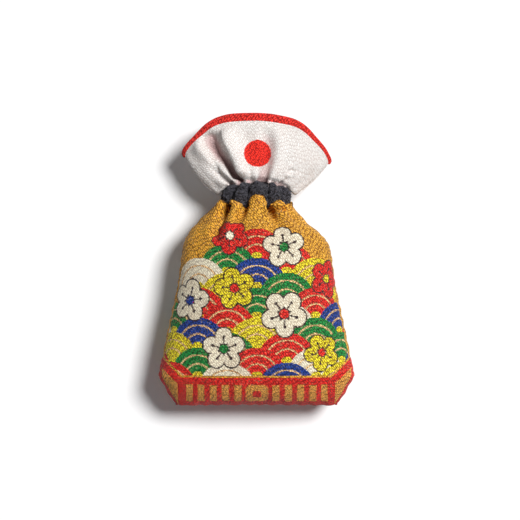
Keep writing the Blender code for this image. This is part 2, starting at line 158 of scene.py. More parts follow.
# Levels and depths that follow from the sizes above
PANEL_INSET = CLOTH + LAYER_GAP
FACED_THICKNESS = PANEL_INSET + LINING
CORD_INSET = PANEL_INSET + PLEAT_DEPTH + CORD_DIAMETER / 2
CASING_DEPTH = CORD_INSET + CORD_DIAMETER / 2 + LAYER_GAP
NECK_LINING_INSET = CASING_DEPTH + LAYER_GAP
SEAM_HEIGHT = BACK_DEPTH + SEAM_GAP / 2 - FLATTENING
BASE_LEVEL = -(BODY_LENGTH + CASING_HEIGHT + COLLAR_HEIGHT) / 2
CASING_LEVEL = BASE_LEVEL + BODY_LENGTH
COLLAR_LEVEL = CASING_LEVEL + CASING_HEIGHT
COLLAR_SIDE_LEVEL = CASING_LEVEL + CASING_SIDE_HEIGHT
BEND_END = (0, COLLAR_LEVEL + GATHER_HEIGHT, SEAM_HEIGHT)

# Fine shape of the body's cloth, which only the looks have
SEAM_GROOVE = 0.75 * MM
SEAM_GROOVE_WIDTH = 1.0 * MM
SEAM_CLEARANCE = 0.02 * MM
NEAR_SEAM_REACH = 0.4
PUCKER_DEPTH = 0.30 * MM
PUCKER_SPACING = 5.5 * MM
PUCKER_REACH = 5.0 * MM
PUCKER_START = 0.5
PUCKER_DRIFT = 0.35 * PUCKER_SPACING
BASE_PUCKER_DEPTH = 0.6 * PUCKER_DEPTH
BASE_PUCKER_DRIFT = 0.4 * PUCKER_SPACING
LUMP_HEIGHT = 0.35 * MM
LUMP_SPACING = 17.0 * MM
BASE_SAG = 0.5 * MM
CORNER_PULL = 0.55 * MM
CORNER_PULL_REACH = 1.6 * MM
PLEAT_SWELL = 1.2 * MM
PLEAT_SWELL_REACH = 8.0 * MM
PLEAT_SWELL_EDGE = 0.45
VALLEY_DEPTH = 1.3 * MM
VALLEY_REACH = 6.0 * MM
PLEAT_TIP = 0.3 * MM
PLEAT_TIP_ROLL = 0.9 * MM

# Fine shape of the casing
CASING_PUFF = 1.3 * MM
CASING_PUFF_LOSS = 0.3
CASING_EDGE_ROLL = 1.8 * MM
CASING_ROLL_LOSS = 0.5
CASING_LEANS = {LEFT: 0.34, RIGHT: 0.22}
CASING_NARROWINGS = {LEFT: 1.2 * MM, RIGHT: 1.5 * MM}
CASING_NARROWING_START = 0.6
CASING_NOTCH = 1.9 * MM
CASING_DROP = 1.2 * MM
CASING_CREASE = 0.9 * MM
CASING_AROUND = 1.5 * NECK_HALF_WIDTH
CASING_GATHER = 0.18 * MM
CASING_GATHER_STRENGTHS = (0.65, 0.35)
CASING_GATHER_SPACING = 1.6 * MM
CASING_DRIFT = 0.35 * CASING_GATHER_SPACING
CASING_KNOT = 0.46 * MM
CASING_KNOT_SPACING = 1.3 * CASING_GATHER_SPACING
CASING_EDGE_CALM = 0.4
CASING_WALL_INSET = 1.0 * MM
CASING_LIP_SHARES = ((1.0, 0.9), (0.1, 0.0))
CASING_WALL_SHARES = (0.85, 0.5, 0.15)

# Fine shape of the collar: its foot inside the casing, its hanging lower corners, how close its
# folds come to the seam plane, how its facing falls away under them, and its padded trim
COLLAR_LUMP = 0.3 * MM
COLLAR_FOOT = 3.2 * MM
COLLAR_FOOT_SINK = 2.2 * MM
COLLAR_FOOT_TOP = 0.08
FOLDS_END = 0.94
FOLDS_FADE = 0.20
SKIRT_SAG = 1.7 * MM
SKIRT_CLIMB = 0.10
SKIRT_REACH = 0.14
SKIRT_START = 0.55
COLLAR_FOLD_FLOOR = 2.4 * MM
ROOT_FLOOR_RISE = 0.9 * MM
FACING_FALL = 0.85
FACING_FALL_DEPTH = 3.2 * MM
TRIM_PAD = 0.3 * MM
TRIM_ROUNDING = 0.7
TRIM_SWELL = 0.08

# Rows and columns of the fine grids, and the reach of a loose layer in grid points
BASE_ROWS, BODY_ROWS, TIP_ROWS, BODY_COLUMNS = 24, 130, 9, 211
CASING_ROWS, CASING_COLUMNS = 27, 201
FOOT_ROWS, COLLAR_ROWS, COLLAR_COLUMNS = 9, 76, 181
ROLL_ROWS, LINING_ROWS, NECK_ROWS, FACING_ROWS, LINING_COLUMNS = 12, 90, 8, 52, 151
LINING_ROLL_ANGLE = 1.35
TRIM_POINTS = 24
LOOSE_POINTS = 4

# Seeds of the random ripples
PUCKER_SEED, BASE_PUCKER_SEED, LUMP_SEED, COLLAR_SEED = 5, 9, 21, 41
CASING_DRIFT_SEED, CASING_KNOT_SEED, CASING_STRENGTH_SEED, TRIM_SEED = 61, 63, 67, 71

# The photograph's frame: its width in pixels, a pixel's size at the seam's height, and the
# pixel where the frame's origin lies. Its camera stands high above the pouch.
IMAGE_PIXELS = 520
PIXEL = 0.408 * MM
ORIGIN_PIXEL = (256.5, 259.0)
CAMERA_HEIGHT = 900.0 * MM
SENSOR_WIDTH = 36.0

# Folds, as routes through pixels of the photograph. Each has its depth and its widths to the
# left and right of the way in millimetres, how much wider it ends, and where it starts to fade.
# Its ridges are a share of its depth high and lie a few widths away.
RIDGE_SHARE = 0.35
RIDGE_PLACE = 2.1
BODY_FOLDS = {
    FRONT: (
        (((228.2, 207), (225.2, 213), (221.5, 221.5), (216.5, 231), (212, 241)), 3.3, 1.5, 1.3, 1.5, 0.75),
        (((247.4, 206), (243.7, 215), (241, 223)), 0.9, 0.8, 1.0, 1.3, 0.3),
        (((267.9, 206.7), (270.5, 213), (277, 222)), 1.5, 0.8, 0.9, 1.5, 0.4),
        (((268.5, 210), (274, 211), (280, 210.8), (287, 209.5)), 2.8, 0.9, 0.7, 1.2, 0.75),
        (((294, 213), (304, 219), (312, 236)), 0.6, 2.2, 2.2, 1.4, 0.3),
        (((212, 213), (202, 224), (196, 246)), 0.5, 2.4, 2.4, 1.4, 0.3),
    ),
    BACK: (
        (((241, 204), (232, 234)), 1.0, 1.5, 1.5, 1.5, 0.3),
        (((258, 204), (256, 226)), 0.9, 1.3, 1.3, 1.5, 0.3),
        (((272, 204), (284, 236)), 1.0, 1.5, 1.5, 1.5, 0.3),
    ),
}
LEFT_VALLEY = ((240, 182), (235.5, 177), (228, 167), (217.5, 155.8), (210, 144), (206.5, 134), (206, 127))
NARROW_VALLEY = ((233.5, 184), (228.8, 180), (220.3, 172.5), (213.6, 163.6), (208, 155), (203, 145))
LEFT_CREST = ((242.5, 178), (238.1, 163.6), (232.5, 151.3), (226.9, 142.4), (223.6, 130))
RIGHT_VALLEY = ((263.5, 181), (265.5, 172), (268, 162), (269, 150), (266, 137), (259, 122))
COLLAR_FOLDS = {
    FRONT: (
        (LEFT_VALLEY, 4.5, 0.9, 1.3, 3.0, 0.80),
        (LEFT_CREST, -2.0, 1.4, 3.4, 1.3, 0.80),
        (NARROW_VALLEY, 1.6, 1.8, 1.1, 1.7, 0.45),
        (RIGHT_VALLEY, 1.6, 1.9, 1.8, 1.3, 0.6),
        (((251, 181), (249.8, 167)), 0.7, 0.8, 0.8, 1.2, 0.3),
        (((281, 186), (296, 172)), 0.7, 1.2, 1.6, 1.4, 0.3),
        (((222, 191), (209, 181)), 0.6, 1.2, 1.2, 1.4, 0.3),
        (((289.5, 172.5), (295, 169.5)), 0.8, 0.9, 0.9, 1.0, 0.6),
    ),
    BACK: (
        (((244, 182), (232, 150)), 1.2, 2.2, 1.8, 1.8, 0.4),
        (((272, 182), (284, 150)), 1.2, 1.8, 2.2, 1.8, 0.4),
        (((258, 182), (259, 160)), 0.7, 1.2, 1.2, 1.5, 0.3),
    ),
}

# Woven marks: pixel rows of the base band's upper edge and of its bars, the pixel of the disc's
# middle, where the band turns up at a base corner, and the slant of its border there
BAND_PIXEL = 375.5
BARS_PIXELS = (399.6, 383.4)
DISC_PIXEL = (257.3, 154.6)
BAND_CORNER = (30.8 * MM, -46.7 * MM)
BAND_SLANT = math.radians(43)

# Stage
FLOOR_REACH = 4.0
FLOOR_DROP = 0.05 * MM
FLOOR_SHADES = ((0.62, 0.62, 0.63, 1.0), (1.0, 1.0, 1.0, 1.0))
FLOOR_GLOW = 0.03
KEY_PLACE = (0.48, 0.32, 0.84)
KEY_STRENGTH = 3.45
KEY_WIDTH = math.radians(20)
FILL_STRENGTH = 0.12
FILL_COLOUR = (0.95, 0.97, 1.0, 1.0)


def place(pixel_x, pixel_y):
    """Plan position, in metres, of a place named by its pixel in the photograph."""
    return (pixel_x - ORIGIN_PIXEL[0]) * PIXEL, (ORIGIN_PIXEL[1] - pixel_y) * PIXEL


# Surfaces of the pouch, for whole grids of points at once


def eased(shares, at):
    """Values at some places of the smooth curve through (place, value) points."""
    places, values = np.array(shares, float).T
    runs = np.diff(places)
    chords = np.diff(values) / runs
    before, after = chords[:-1], chords[1:]
    turning = before * after <= 0
    total = np.where(turning, 1.0, before + after)
    slopes = np.concatenate(([chords[0]], np.where(turning, 0.0, 2 * before * after / total), [chords[-1]]))
    at = np.clip(at, places[0], places[-1])
    i = np.clip(np.searchsorted(places, at, "right") - 1, 0, len(runs) - 1)
    t = (at - places[i]) / runs[i]
    start = values[i] * (1 + 2 * t) + runs[i] * slopes[i] * t
    end = values[i + 1] * (3 - 2 * t) - runs[i] * slopes[i + 1] * (1 - t)
    return start * (1 - t) ** 2 + end * t**2


def smooth_step(share):
    """0 before 0, 1 after 1, and level at both."""
    share = np.clip(share, 0.0, 1.0)
    return share * share * (3 - 2 * share)


def bell(away):
    """1 at 0, and fading smoothly on both sides of it."""
    return np.exp(-(away**2))


def near_seam(turn, start):
    """0 up to some turn from the centre line, and rising to 1 near the side seams."""
    return smooth_step((np.abs(turn) - start) / NEAR_SEAM_REACH)


def slope_of(curve, at):
    """Slope of a curve, measured over a short step."""
    return (curve(at + SLOPE_STEP) - curve(at - SLOPE_STEP)) / (2 * SLOPE_STEP)


def by_half(turn, left, right):
    """The left value where a turn is left of the centre line, and the right one elsewhere."""
    return np.where(turn < 0, left, right)


def crease_dip(creases, turn, distance, reach):
    """Depth to which the creases draw the cloth in, at some turns and distances from the neck."""
    places, depths, reaches = np.array(((-1.0, 0.0, 1.0), *creases, (1.0, 0.0, 1.0))).T
    turn = np.clip(turn, -1.0, 1.0)
    i = np.clip(np.searchsorted(places, turn, "right") - 1, 0, len(places) - 2)
    across = (turn - places[i]) / (places[i + 1] - places[i])
    dip = 0.0
    for crease, away in ((i, across), (i + 1, 1 - across)):
        near = np.maximum(0.0, 1 - 2 * away) ** CREASE_SHARPNESS
        dip = dip + depths[crease] * near * np.exp(-((distance / (reach * reaches[crease])) ** FADE_POWER))
    return PLEAT_DEPTH * dip


def pleat_rise(side, turn):
    """How far the body's upper edge stands above the casing's lowest place."""
    return PLEAT_RISE * eased(PLEAT_RISE_SHARES[side], turn)


def on_section(side, turn, half_width, depth, side_level, centre_level, squareness, dip=0.0, flattened=0.0):
    """Points on sections, where turn runs from -1 at the left seam to 1 at the right one.

    Flattened is how far the section's rise follows the rim's own arch instead of a round one.
    """
    angle = turn * math.pi / 2
    across = np.abs(np.sin(angle)) ** (2 / squareness)
    up = np.maximum(np.cos(angle), 0.0) ** (2 / squareness)
    lean_x = across ** (squareness - 1) / half_width
    lean_z = up ** (squareness - 1) / np.maximum(depth, CLOTH)
    length = np.hypot(lean_x, lean_z)
    drawn = np.where(depth > dip, dip, 0.0)
    x = np.sign(turn) * (half_width * across - drawn * lean_x / length)
    z = depth * up - drawn * lean_z / length
    rim_arch = by_half(turn, *(eased(ARCH_SHARES[half], np.abs(turn)) for half in (LEFT, RIGHT)))
    arch = np.cos(angle) + flattened * (rim_arch - np.cos(angle))
    y = side_level + (centre_level - side_level) * arch
    x, y, z = np.broadcast_arrays(x, y, z)
    return np.stack((x, y, SEAM_HEIGHT + side * z), axis=-1)


def body_half_width(half, height):
    """Half width of the body's left or right half at some heights above the base seam."""
    low = BASE_HALF_WIDTH + (WIDEST_HALF_WIDTH - BASE_HALF_WIDTH) * np.clip(height / CORNER_HEIGHT, 0, 1)
    climb = (height - CORNER_HEIGHT) / (BODY_LENGTH - CORNER_HEIGHT)
    spread = WIDEST_HALF_WIDTH - NECK_HALF_WIDTH
    high = NECK_HALF_WIDTH + spread * eased(SIDE_SHARES + SHOULDER_SHARES[half], climb)
    return np.where(height < CORNER_HEIGHT, low, high)


def body_depth(side, height):
    """Depth of one half of the body, before the base rolls in to its seam."""
    greatest = FRONT_DEPTH if side == FRONT else BACK_DEPTH
    return NECK_HALF_DEPTH + (greatest - NECK_HALF_DEPTH) * eased(DEPTH_SHARES, height / BODY_LENGTH)


def body_points(side, height, turn, inset, pleated=1.0):
    """Points of the body, inside its outer face by the inset."""
    widths = []
    for half in (LEFT, RIGHT):
        slope = pleated * slope_of(lambda at, half=half: body_half_width(half, at), height)
        widths.append(body_half_width(half, height) - inset * np.hypot(1, slope))
    half_width = by_half(turn, *widths)
    depth_slope = pleated * slope_of(lambda at: body_depth(side, at), height)
    depth = body_depth(side, height) - inset * np.hypot(1, depth_slope)
    climb = np.clip((height - inset) / (BASE_ROLL - inset), 0.0, 1.0)
    depth = depth * np.sqrt(1 - (1 - climb) ** 2)
    rounding = eased(ROUNDING_SHARES, height / BODY_LENGTH)
    squareness = BODY_SQUARENESS[side] + (NECK_SQUARENESS - BODY_SQUARENESS[side]) * rounding
    from_neck = np.maximum(BODY_LENGTH - height, 0.0)
    dip = pleated * crease_dip(BODY_CREASE_SHARES[side], turn, from_neck, BODY_PLEAT_REACH)
    level = BASE_LEVEL + height
    points = on_section(side, turn, half_width, depth, level, level, squareness, dip)
    sag = BASE_SAG * (1 - (points[..., 0] / BASE_HALF_WIDTH) ** 2) * (1 - climb) ** 2
    points[..., 1] += np.maximum(sag, -BASE_SAG)
    points[..., 1] += pleated * pleat_rise(side, turn) * smooth_step(1 - from_neck / PLEAT_RISE_REACH)
    return points


def collar_edge(rise, climb):
    """Half width and level of the collar's side edge, with climb from 0 at the casing to 1."""
    half_width = NECK_HALF_WIDTH + (RIM_HALF_WIDTH - NECK_HALF_WIDTH) * eased(SPREAD_SHARES, climb)
    level = COLLAR_SIDE_LEVEL + COLLAR_RISE_LAG * climb
    return half_width, level + (rise - COLLAR_RISE_LAG) * eased(RISE_SHARES, climb)


def collar_points(side, climb, turn, inset):
    """Points of the collar, with its pleats fading towards the rim."""
    step = SLOPE_STEP / COLLAR_HEIGHT
    widths, levels = [], []
    for rise in (COLLAR_LEFT_RISE, COLLAR_RIGHT_RISE):
        width, level = collar_edge(rise, climb)
        ahead, behind = collar_edge(rise, climb + step), collar_edge(rise, climb - step)
        along = np.hypot(ahead[0] - behind[0], ahead[1] - behind[1])
        widths.append(width - inset * (ahead[1] - behind[1]) / along)
        levels.append(level + inset * (ahead[0] - behind[0]) / along)
    thinning = (NECK_HALF_DEPTH - RIM_HALF_DEPTH) * eased(COLLAR_DEPTH_SHARES, climb)
    depth = NECK_HALF_DEPTH - thinning - inset
    climbed = np.maximum(climb, 0.0)
    dip = crease_dip(COLLAR_CREASE_SHARES[side], turn, climbed * COLLAR_HEIGHT, COLLAR_PLEAT_REACH)
    half_width, side_level = by_half(turn, *widths), by_half(turn, *levels)
    sizes = half_width, depth, side_level, COLLAR_LEVEL + COLLAR_HEIGHT * climb
    return on_section(side, turn, *sizes, NECK_SQUARENESS, dip, climbed)


def neck_points(side, share, turn, inset, dip, raised=0.0):
    """Points of the neck between the casing's lower edge, at share 0, and its upper edge."""
    side_level = CASING_LEVEL + CASING_SIDE_HEIGHT * share
    centre_level = CASING_LEVEL + CASING_HEIGHT * share
    half_width, depth = NECK_HALF_WIDTH - inset, NECK_HALF_DEPTH - inset
    points = on_section(side, turn, half_width, depth, side_level, centre_level, NECK_SQUARENESS, dip)
    points[..., 1] += raised
    return points


def normals_of(points, side):
    """Unit normals of a grid of points, facing out of the pouch."""
    along = np.gradient(points, axis=0)
    across = np.gradient(points, axis=1)
    normals = np.cross(across, along)
    normals /= np.maximum(np.linalg.norm(normals, axis=-1, keepdims=True), 1e-12)
    middle = normals[normals.shape[0] // 2, normals.shape[1] // 2, 2]
    return normals * np.sign(middle * side)


def off_seam(points):
    """Distances of points from the seam plane."""
    return np.abs(points[..., 2] - SEAM_HEIGHT)


def keep_to_half(points, side, clearance=SEAM_CLEARANCE):
    """Keeps points on their own side of the seam plane."""
    above = side * (points[..., 2] - SEAM_HEIGHT)
    points[..., 2] = SEAM_HEIGHT + side * np.maximum(above, clearance)
    return points


def even_wave(along, spacing):
    """Even wave between -1 and 1."""
    return np.sin(2 * math.pi * along / spacing)


def ripple(x, y, spacing, seed, waves=7):
    """Smooth random field between about -1 and 1, with bumps at about the given spacing."""
    rng = np.random.default_rng(seed)
    total = np.zeros(np.broadcast(x, y).shape)
    for _ in range(waves):
        heading, phase = rng.uniform(0, 2 * math.pi, 2)
        length = spacing * rng.uniform(0.7, 1.5)
        total += np.sin(2 * math.pi * (x * math.cos(heading) + y * math.sin(heading)) / length + phase)
    return total / math.sqrt(waves * 2)


def fold(points, route, depth, left_width, right_width, spread, hold):
    """Moves along the normals that make one fold: a valley with low ridges beside it."""
    x, y = points[..., 0], points[..., 1]
    ends = np.array([place(*pixel) for pixel in route])
    steps = np.linalg.norm(np.diff(ends, axis=0), axis=1)
    least, share, leftward = np.full(x.shape, np.inf), np.zeros(x.shape), np.zeros(x.shape, bool)
    done = 0.0
    for start, run, length in zip(ends, np.diff(ends, axis=0), steps):
        from_x, from_y = x - start[0], y - start[1]
        t = np.clip((from_x * run[0] + from_y * run[1]) / length**2, 0, 1)
        distance = np.hypot(from_x - t * run[0], from_y - t * run[1])
        nearer = distance < least
        least = np.where(nearer, distance, least)
        share = np.where(nearer, (done + t * length) / steps.sum(), share)
        leftward = np.where(nearer, run[0] * from_y - run[1] * from_x > 0, leftward)
        done += length
    width = np.where(leftward, left_width, right_width) * MM * (1 + (spread - 1) * share)
    away = least / width
    profile = bell(away) - RIDGE_SHARE * bell(away - RIDGE_PLACE)
    return -depth * MM * profile * (1 - smooth_step((share - hold) / (1 - hold)))


# Meshes


def spread_turns(count):
    """Turns from seam to seam, closer together near the seams."""
    u = np.linspace(-1, 1, count)
    return (0.5 * u + 0.5 * np.sin(u * math.pi / 2))[None, :]


def grid_faces(rows, columns, start=0, around=False):
    """Quads of a grid of points, joined round its columns where asked."""
    last = columns if around else columns - 1
    r, c = np.meshgrid(np.arange(rows - 1), np.arange(last), indexing="ij")
    right = (c + 1) % columns
    corners = (r * columns + c, r * columns + right, (r + 1) * columns + right, (r + 1) * columns + c)
    return np.stack(corners, -1).reshape(-1, 4) + start


def ring_faces(ring, around=False):
    """Quads of a grid of points whose last row joins its first one."""
    rows, columns = ring.shape[:2]
    return grid_faces(rows + 1, columns, around=around) % (rows * columns)


def cloth_coordinates(points):
    """Distances in millimetres across the cloth from its centre line and up from its first row."""
    centre = points.shape[1] // 2
    across = np.linalg.norm(np.diff(points, axis=1), axis=-1)
    u = np.concatenate((np.zeros((len(points), 1)), np.cumsum(across, axis=1)), axis=1)
    u -= u[:, centre : centre + 1]
    up = np.linalg.norm(np.diff(points[:, centre], axis=0), axis=-1)
    v = np.concatenate(([0.0], np.cumsum(up)))
    return np.stack((u, np.broadcast_to(v[:, None], u.shape), np.zeros(u.shape)), axis=-1) / MM


def add_object(name, data):
    """New object of some data, in the scene."""
    made = bpy.data.objects.new(name, data)
    bpy.context.scene.collection.objects.link(made)
    return made


def add_mesh(name, points, faces, cloth, material):
    """Object from points and faces, with three fields of its cloth in each attribute."""
    mesh = bpy.data.meshes.new(name)
    mesh.from_pydata(points.tolist(), [], faces)
    for first, attribute in zip(range(0, cloth.shape[-1], 3), ("cloth", "corner")):
        layer = mesh.attributes.new(attribute, "FLOAT_VECTOR", "POINT")
        layer.data.foreach_set("vector", cloth[:, first : first + 3].astype(np.float32).ravel())
    mesh.shade_smooth()
    mesh.materials.append(material)
    return add_object(name, mesh)


def cloth_shell(name, outer, side, thickness, material, cloth=None):
    """Closed shell of cloth, from a grid of outer points to the same grid moved inwards."""
    cloth = cloth_coordinates(outer) if cloth is None else cloth
    inner = outer - normals_of(outer, side) * thickness
    rows, columns = outer.shape[:2]
    total = rows * columns
    front = grid_faces(rows, columns)
    back = grid_faces(rows, columns, total)[:, ::-1]
    ring = np.concatenate((
        np.arange(columns),
        np.arange(1, rows) * columns + columns - 1,
        (rows - 1) * columns + np.arange(columns - 2, -1, -1),
        np.arange(rows - 2, 0, -1) * columns,
    ))
    following = np.roll(ring, -1)
    rims = np.stack((following, ring, ring + total, following + total), -1)
    faces = np.concatenate((front, back, rims))
    if side == BACK:
        faces = faces[:, ::-1]
    points = np.concatenate((outer.reshape(-1, 3), inner.reshape(-1, 3)))
    fields = np.tile(cloth.reshape(total, -1), (2, 1))
    return add_mesh(name, points, faces.tolist(), fields, material)


# Colours and materials


def srgb(red, green, blue):
    """Linear colour of an 8-bit screen colour."""
    def linear(value):
        value /= 255
        return value / 12.92 if value <= 0.04045 else ((value + 0.055) / 1.055) ** 2.4
    return (linear(red), linear(green), linear(blue), 1.0)


GOLD = srgb(236, 174, 56)
BAR_GOLD = srgb(248, 178, 80)
RED = srgb(240, 40, 32)
DISC_RED = srgb(255, 38, 26)
GREEN = srgb(22, 142, 62)
BLUE = srgb(26, 66, 158)
YELLOW = srgb(244, 228, 40)
CREAM = srgb(250, 243, 218)
BROWN = srgb(62, 44, 46)
WHITE = srgb(248, 245, 241)
CHARCOAL = srgb(38, 38, 43)
IVORY = srgb(226, 214, 190)
IVORY_SHADE = srgb(150, 130, 100)
CORD_SHADES = (srgb(28, 28, 32), srgb(74, 74, 82))

# Tints of the grain, partly the threads' own tone and partly painted shade in its valleys and painted
# highlights on its ridges; and the painted shade, pinkish, of the pale cloth deep in its folds
GOLD_TINTS = ((0.28, 0.19, 0.16, 1.0), (1.24, 1.24, 1.24, 1.0))
CREAM_TINTS = ((0.64, 0.57, 0.52, 1.0), (1.12, 1.12, 1.12, 1.0))
RED_TINTS = ((0.36, 0.22, 0.20, 1.0), (1.22, 2.2, 2.2, 1.0))
DARK_TINTS = ((0.05, 0.04, 0.05, 1.0), (4.6, 4.4, 4.4, 1.0))
PALE_TINTS = ((0.76, 0.70, 0.68, 1.0), (1.07, 1.07, 1.07, 1.0))
PAINTED_FOLD_SHADE = (0.74, 0.54, 0.55, 1.0)

# Duller tint of each cloth's wide patches, and their size in millimetres of cloth
BROCADE_PATCHES = ((0.88, 0.84, 0.82, 1.0), 16.0)
CREPE_PATCHES = ((0.95, 0.93, 0.92, 1.0), 12.0)
LINING_PATCHES = ((0.86, 0.82, 0.74, 1.0), 10.0)

# Pitch of each grain, in millimetres of cloth, and the height of its relief
BROCADE_GRAIN = (0.80, 0.34 * MM)
CASING_GRAIN = (0.72, 0.45 * MM)
TRIM_GRAIN = (0.90, 0.25 * MM)
COLLAR_GRAIN = (0.76, 0.24 * MM)
LINING_GRAIN = (0.35, 0.08 * MM)
CORD_PITCH = 1.1 * MM
CORD_RELIEF = 0.2 * MM
BROCADE_LEAN = math.radians(-40)
CREPE_LEAN = math.radians(-38)

# Surfaces: how strongly the relief shades, the roughness low and high in it, and the sheen
BROCADE_SURFACE = (0.85, (0.8, 0.58), 0.04)
CREPE_SURFACE = (0.8, (0.88, 0.72), 0.10)
LINING_SURFACE = (0.6, (0.52, 0.42), 0.2)
CORD_SURFACE = (0.8, (0.85, 0.7), 0.2)

# The woven design, in millimetres of cloth
BROCADE_THREAD = 0.4
PLAIN_EDGE = 5.0
RUBBED_EDGE = (1.4, 0.4)
WAVE_RADIUS = 12.0
WAVE_RISE = 6.0
BAND_LINE = (-0.55, 0.25)
BAR_FIRST = 7.7
BAR_SPACING = 4.98
BAR_HALF_WIDTH = 1.4
ORNAMENT_HALF_WIDTH = 4.4
BLOCK_INSET, BLOCK_MARGIN, BLOCK_START = 3.2, 1.5, 31.9
DISC_RADIUS = 5.5
DISC_THREAD = 0.25
# Fold depths, in millimetres, over which the painted shade in the pale cloth's folds comes in
PAINTED_FOLD_SHADE_DEPTHS = (0.3, 3.2)

# Counts and strengths of the design, how its waves slope away to the sides, and its fans' colours
WAVE_ROWS = 9.2
WAVE_SLOPE = -0.13
BAR_COUNT = 5
RUBBED_STRENGTH = 0.18
FLECK_STRENGTH = 0.28
FAN_COLOURS = (RED, GREEN, CREAM, RED, BLUE, GREEN, YELLOW)

# Parts of the ornament, of a wave fan and of a blossom, as shares of their own size
ORNAMENT_CUT_SHARE = 1.75
ORNAMENT_HOLE_SHARE = 0.40
FAN_HEART_SHARE = 0.20
FAN_LINE_SHARE = 0.80
PETAL_MIDDLE_SHARE = 0.60
PETAL_SHARE = 0.44
PETAL_RIM_SHARE = 0.375
STAMEN_HALF_SHARE = 0.032
STAMEN_END_SHARE = 0.52
STAMEN_TIP_SHARES = (0.56, 0.09)
BLOSSOM_HEART_SHARE = 0.2
FAR_SHARE = 9.0

# Blossoms: plan position and radius in millimetres, turn, petals and heart
BLOSSOMS = (
    ((-11, 9), 7.6, 1.0, RED, CREAM),
    ((11, 5), 8.6, 0.2, CREAM, GREEN),
    ((28, -8), 7.8, 0.7, RED, YELLOW),
    ((-9, -12), 8.4, 0.1, YELLOW, RED),
    ((11, -22), 9.4, 0.9, CREAM, RED),
    ((-27, -17), 8.6, 0.5, CREAM, BLUE),
    ((-13, -36), 8.6, 0.3, CREAM, GREEN),
    ((26, -38), 7.6, 1.1, YELLOW, RED),
)


def arithmetic(operation):
    """Method that makes a node of one operation from a term and what it is joined with."""
    return lambda term, *others: term.shade.math(operation, term, *others)


class Term:
    """A number made by a material's nodes, with arithmetic that makes more of them.

    Of two masks, & gives 1 where both are 1, and | where either is.
    """

    __add__ = arithmetic("ADD")
    __sub__ = arithmetic("SUBTRACT")
    __mul__ = arithmetic("MULTIPLY")
    __truediv__ = arithmetic("DIVIDE")
    __mod__ = arithmetic("FLOORED_MODULO")
    __lt__ = arithmetic("LESS_THAN")
    __gt__ = arithmetic("GREATER_THAN")
    __and__ = arithmetic("MULTIPLY")
    __or__ = arithmetic("MAXIMUM")
    __abs__ = arithmetic("ABSOLUTE")
    __round__ = arithmetic("ROUND")

    def __init__(self, shade, socket):
        self.shade, self.socket = shade, socket

    def __rsub__(self, other):
        return self.shade.math("SUBTRACT", other, self)


class Shade:
    """The nodes of one material."""

    def __init__(self, name):
        self.material = bpy.data.materials.new(name)
        self.material.use_nodes = True
        self.tree = self.material.node_tree
        self.shader = self.tree.nodes["Principled BSDF"]

    def node(self, kind, inputs=(), **settings):
        """New node with its settings and inputs, which are plain values, sockets or terms."""
        made = self.tree.nodes.new(kind)
        for key, value in settings.items():
            setattr(made, key, value)
        for key, value in dict(inputs).items():
            self.put(value, made.inputs[key])
        return made

    def put(self, value, socket):
        """Links a term or a socket, or sets a plain value."""
        if isinstance(value, Term):
            value = value.socket
        if isinstance(value, bpy.types.NodeSocket):
            self.tree.links.new(value, socket)
        else:
            socket.default_value = value

    def math(self, operation, *values):
        return Term(self, self.node("ShaderNodeMath", enumerate(values), operation=operation).outputs[0])

    def vector(self, operation, *values):
        return self.node("ShaderNodeVectorMath", enumerate(values), operation=operation).outputs["Vector"]

    def length(self, vector):
        made = self.node("ShaderNodeVectorMath", {0: vector}, operation="LENGTH")
        return Term(self, made.outputs["Value"])

    def snap(self, vector, step):
        return self.vector("SNAP", vector, (step, step, step))

    def turned(self, vector, angle):
        inputs = {"Vector": vector, "Angle": angle}
        return self.node("ShaderNodeVectorRotate", inputs, rotation_type="Z_AXIS").outputs[0]

    def combine(self, x, y, z=0.0):
        return self.node("ShaderNodeCombineXYZ", {"X": x, "Y": y, "Z": z}).outputs[0]

    def separate(self, vector):
        made = self.node("ShaderNodeSeparateXYZ", {"Vector": vector})
        return [Term(self, socket) for socket in made.outputs]

    def mix(self, factor, first, second, blend="MIX"):
        """Colour between two colours."""
        inputs = {0: factor, 6: first, 7: second}
        return self.node("ShaderNodeMix", inputs, data_type="RGBA", blend_type=blend).outputs[2]

    def soft(self, value, low, high):
        """0 at low, 1 at high, and smooth between them."""
        inputs = {"Value": value, "From Min": low, "From Max": high}
        made = self.node("ShaderNodeMapRange", inputs, interpolation_type="SMOOTHSTEP")
        return Term(self, made.outputs[0])

    def noise(self, vector, scale, detail=2.0, output=0):
        inputs = {"Vector": vector, "Scale": scale, "Detail": detail}
        return Term(self, self.node("ShaderNodeTexNoise", inputs).outputs[output])

    def chance(self, inputs, dimensions):
        """Random number from 0 to 1 for each whole place."""
        made = self.node("ShaderNodeTexWhiteNoise", inputs, noise_dimensions=dimensions)
        return Term(self, made.outputs["Value"])

    def field(self, attribute="cloth"):
        return self.node("ShaderNodeAttribute", attribute_name=attribute).outputs["Vector"]

    def finish(self, colour, roughness, sheen, specular=0.3):
        """Sets the shader's own sockets."""
        self.put(colour, self.shader.inputs["Base Color"])
        self.put(roughness, self.shader.inputs["Roughness"])
        self.shader.inputs["Sheen Weight"].default_value = sheen
        self.shader.inputs["Sheen Roughness"].default_value = 0.5
        self.shader.inputs["Specular IOR Level"].default_value = specular
        return self.material

    def finish_cloth(self, colour, height, relief, surface):
        """Finishes a cloth that stands out by its relief and is smoother where it is high."""
        strength, (rough, smooth), sheen = surface
        bump = self.node("ShaderNodeBump", {"Height": height, "Distance": relief, "Strength": strength})
        self.put(bump.outputs[0], self.shader.inputs["Normal"])
        roughness = self.node("ShaderNodeMix", {0: height, 2: rough, 3: smooth}, data_type="FLOAT")
        return self.finish(colour, roughness.outputs[0], sheen)


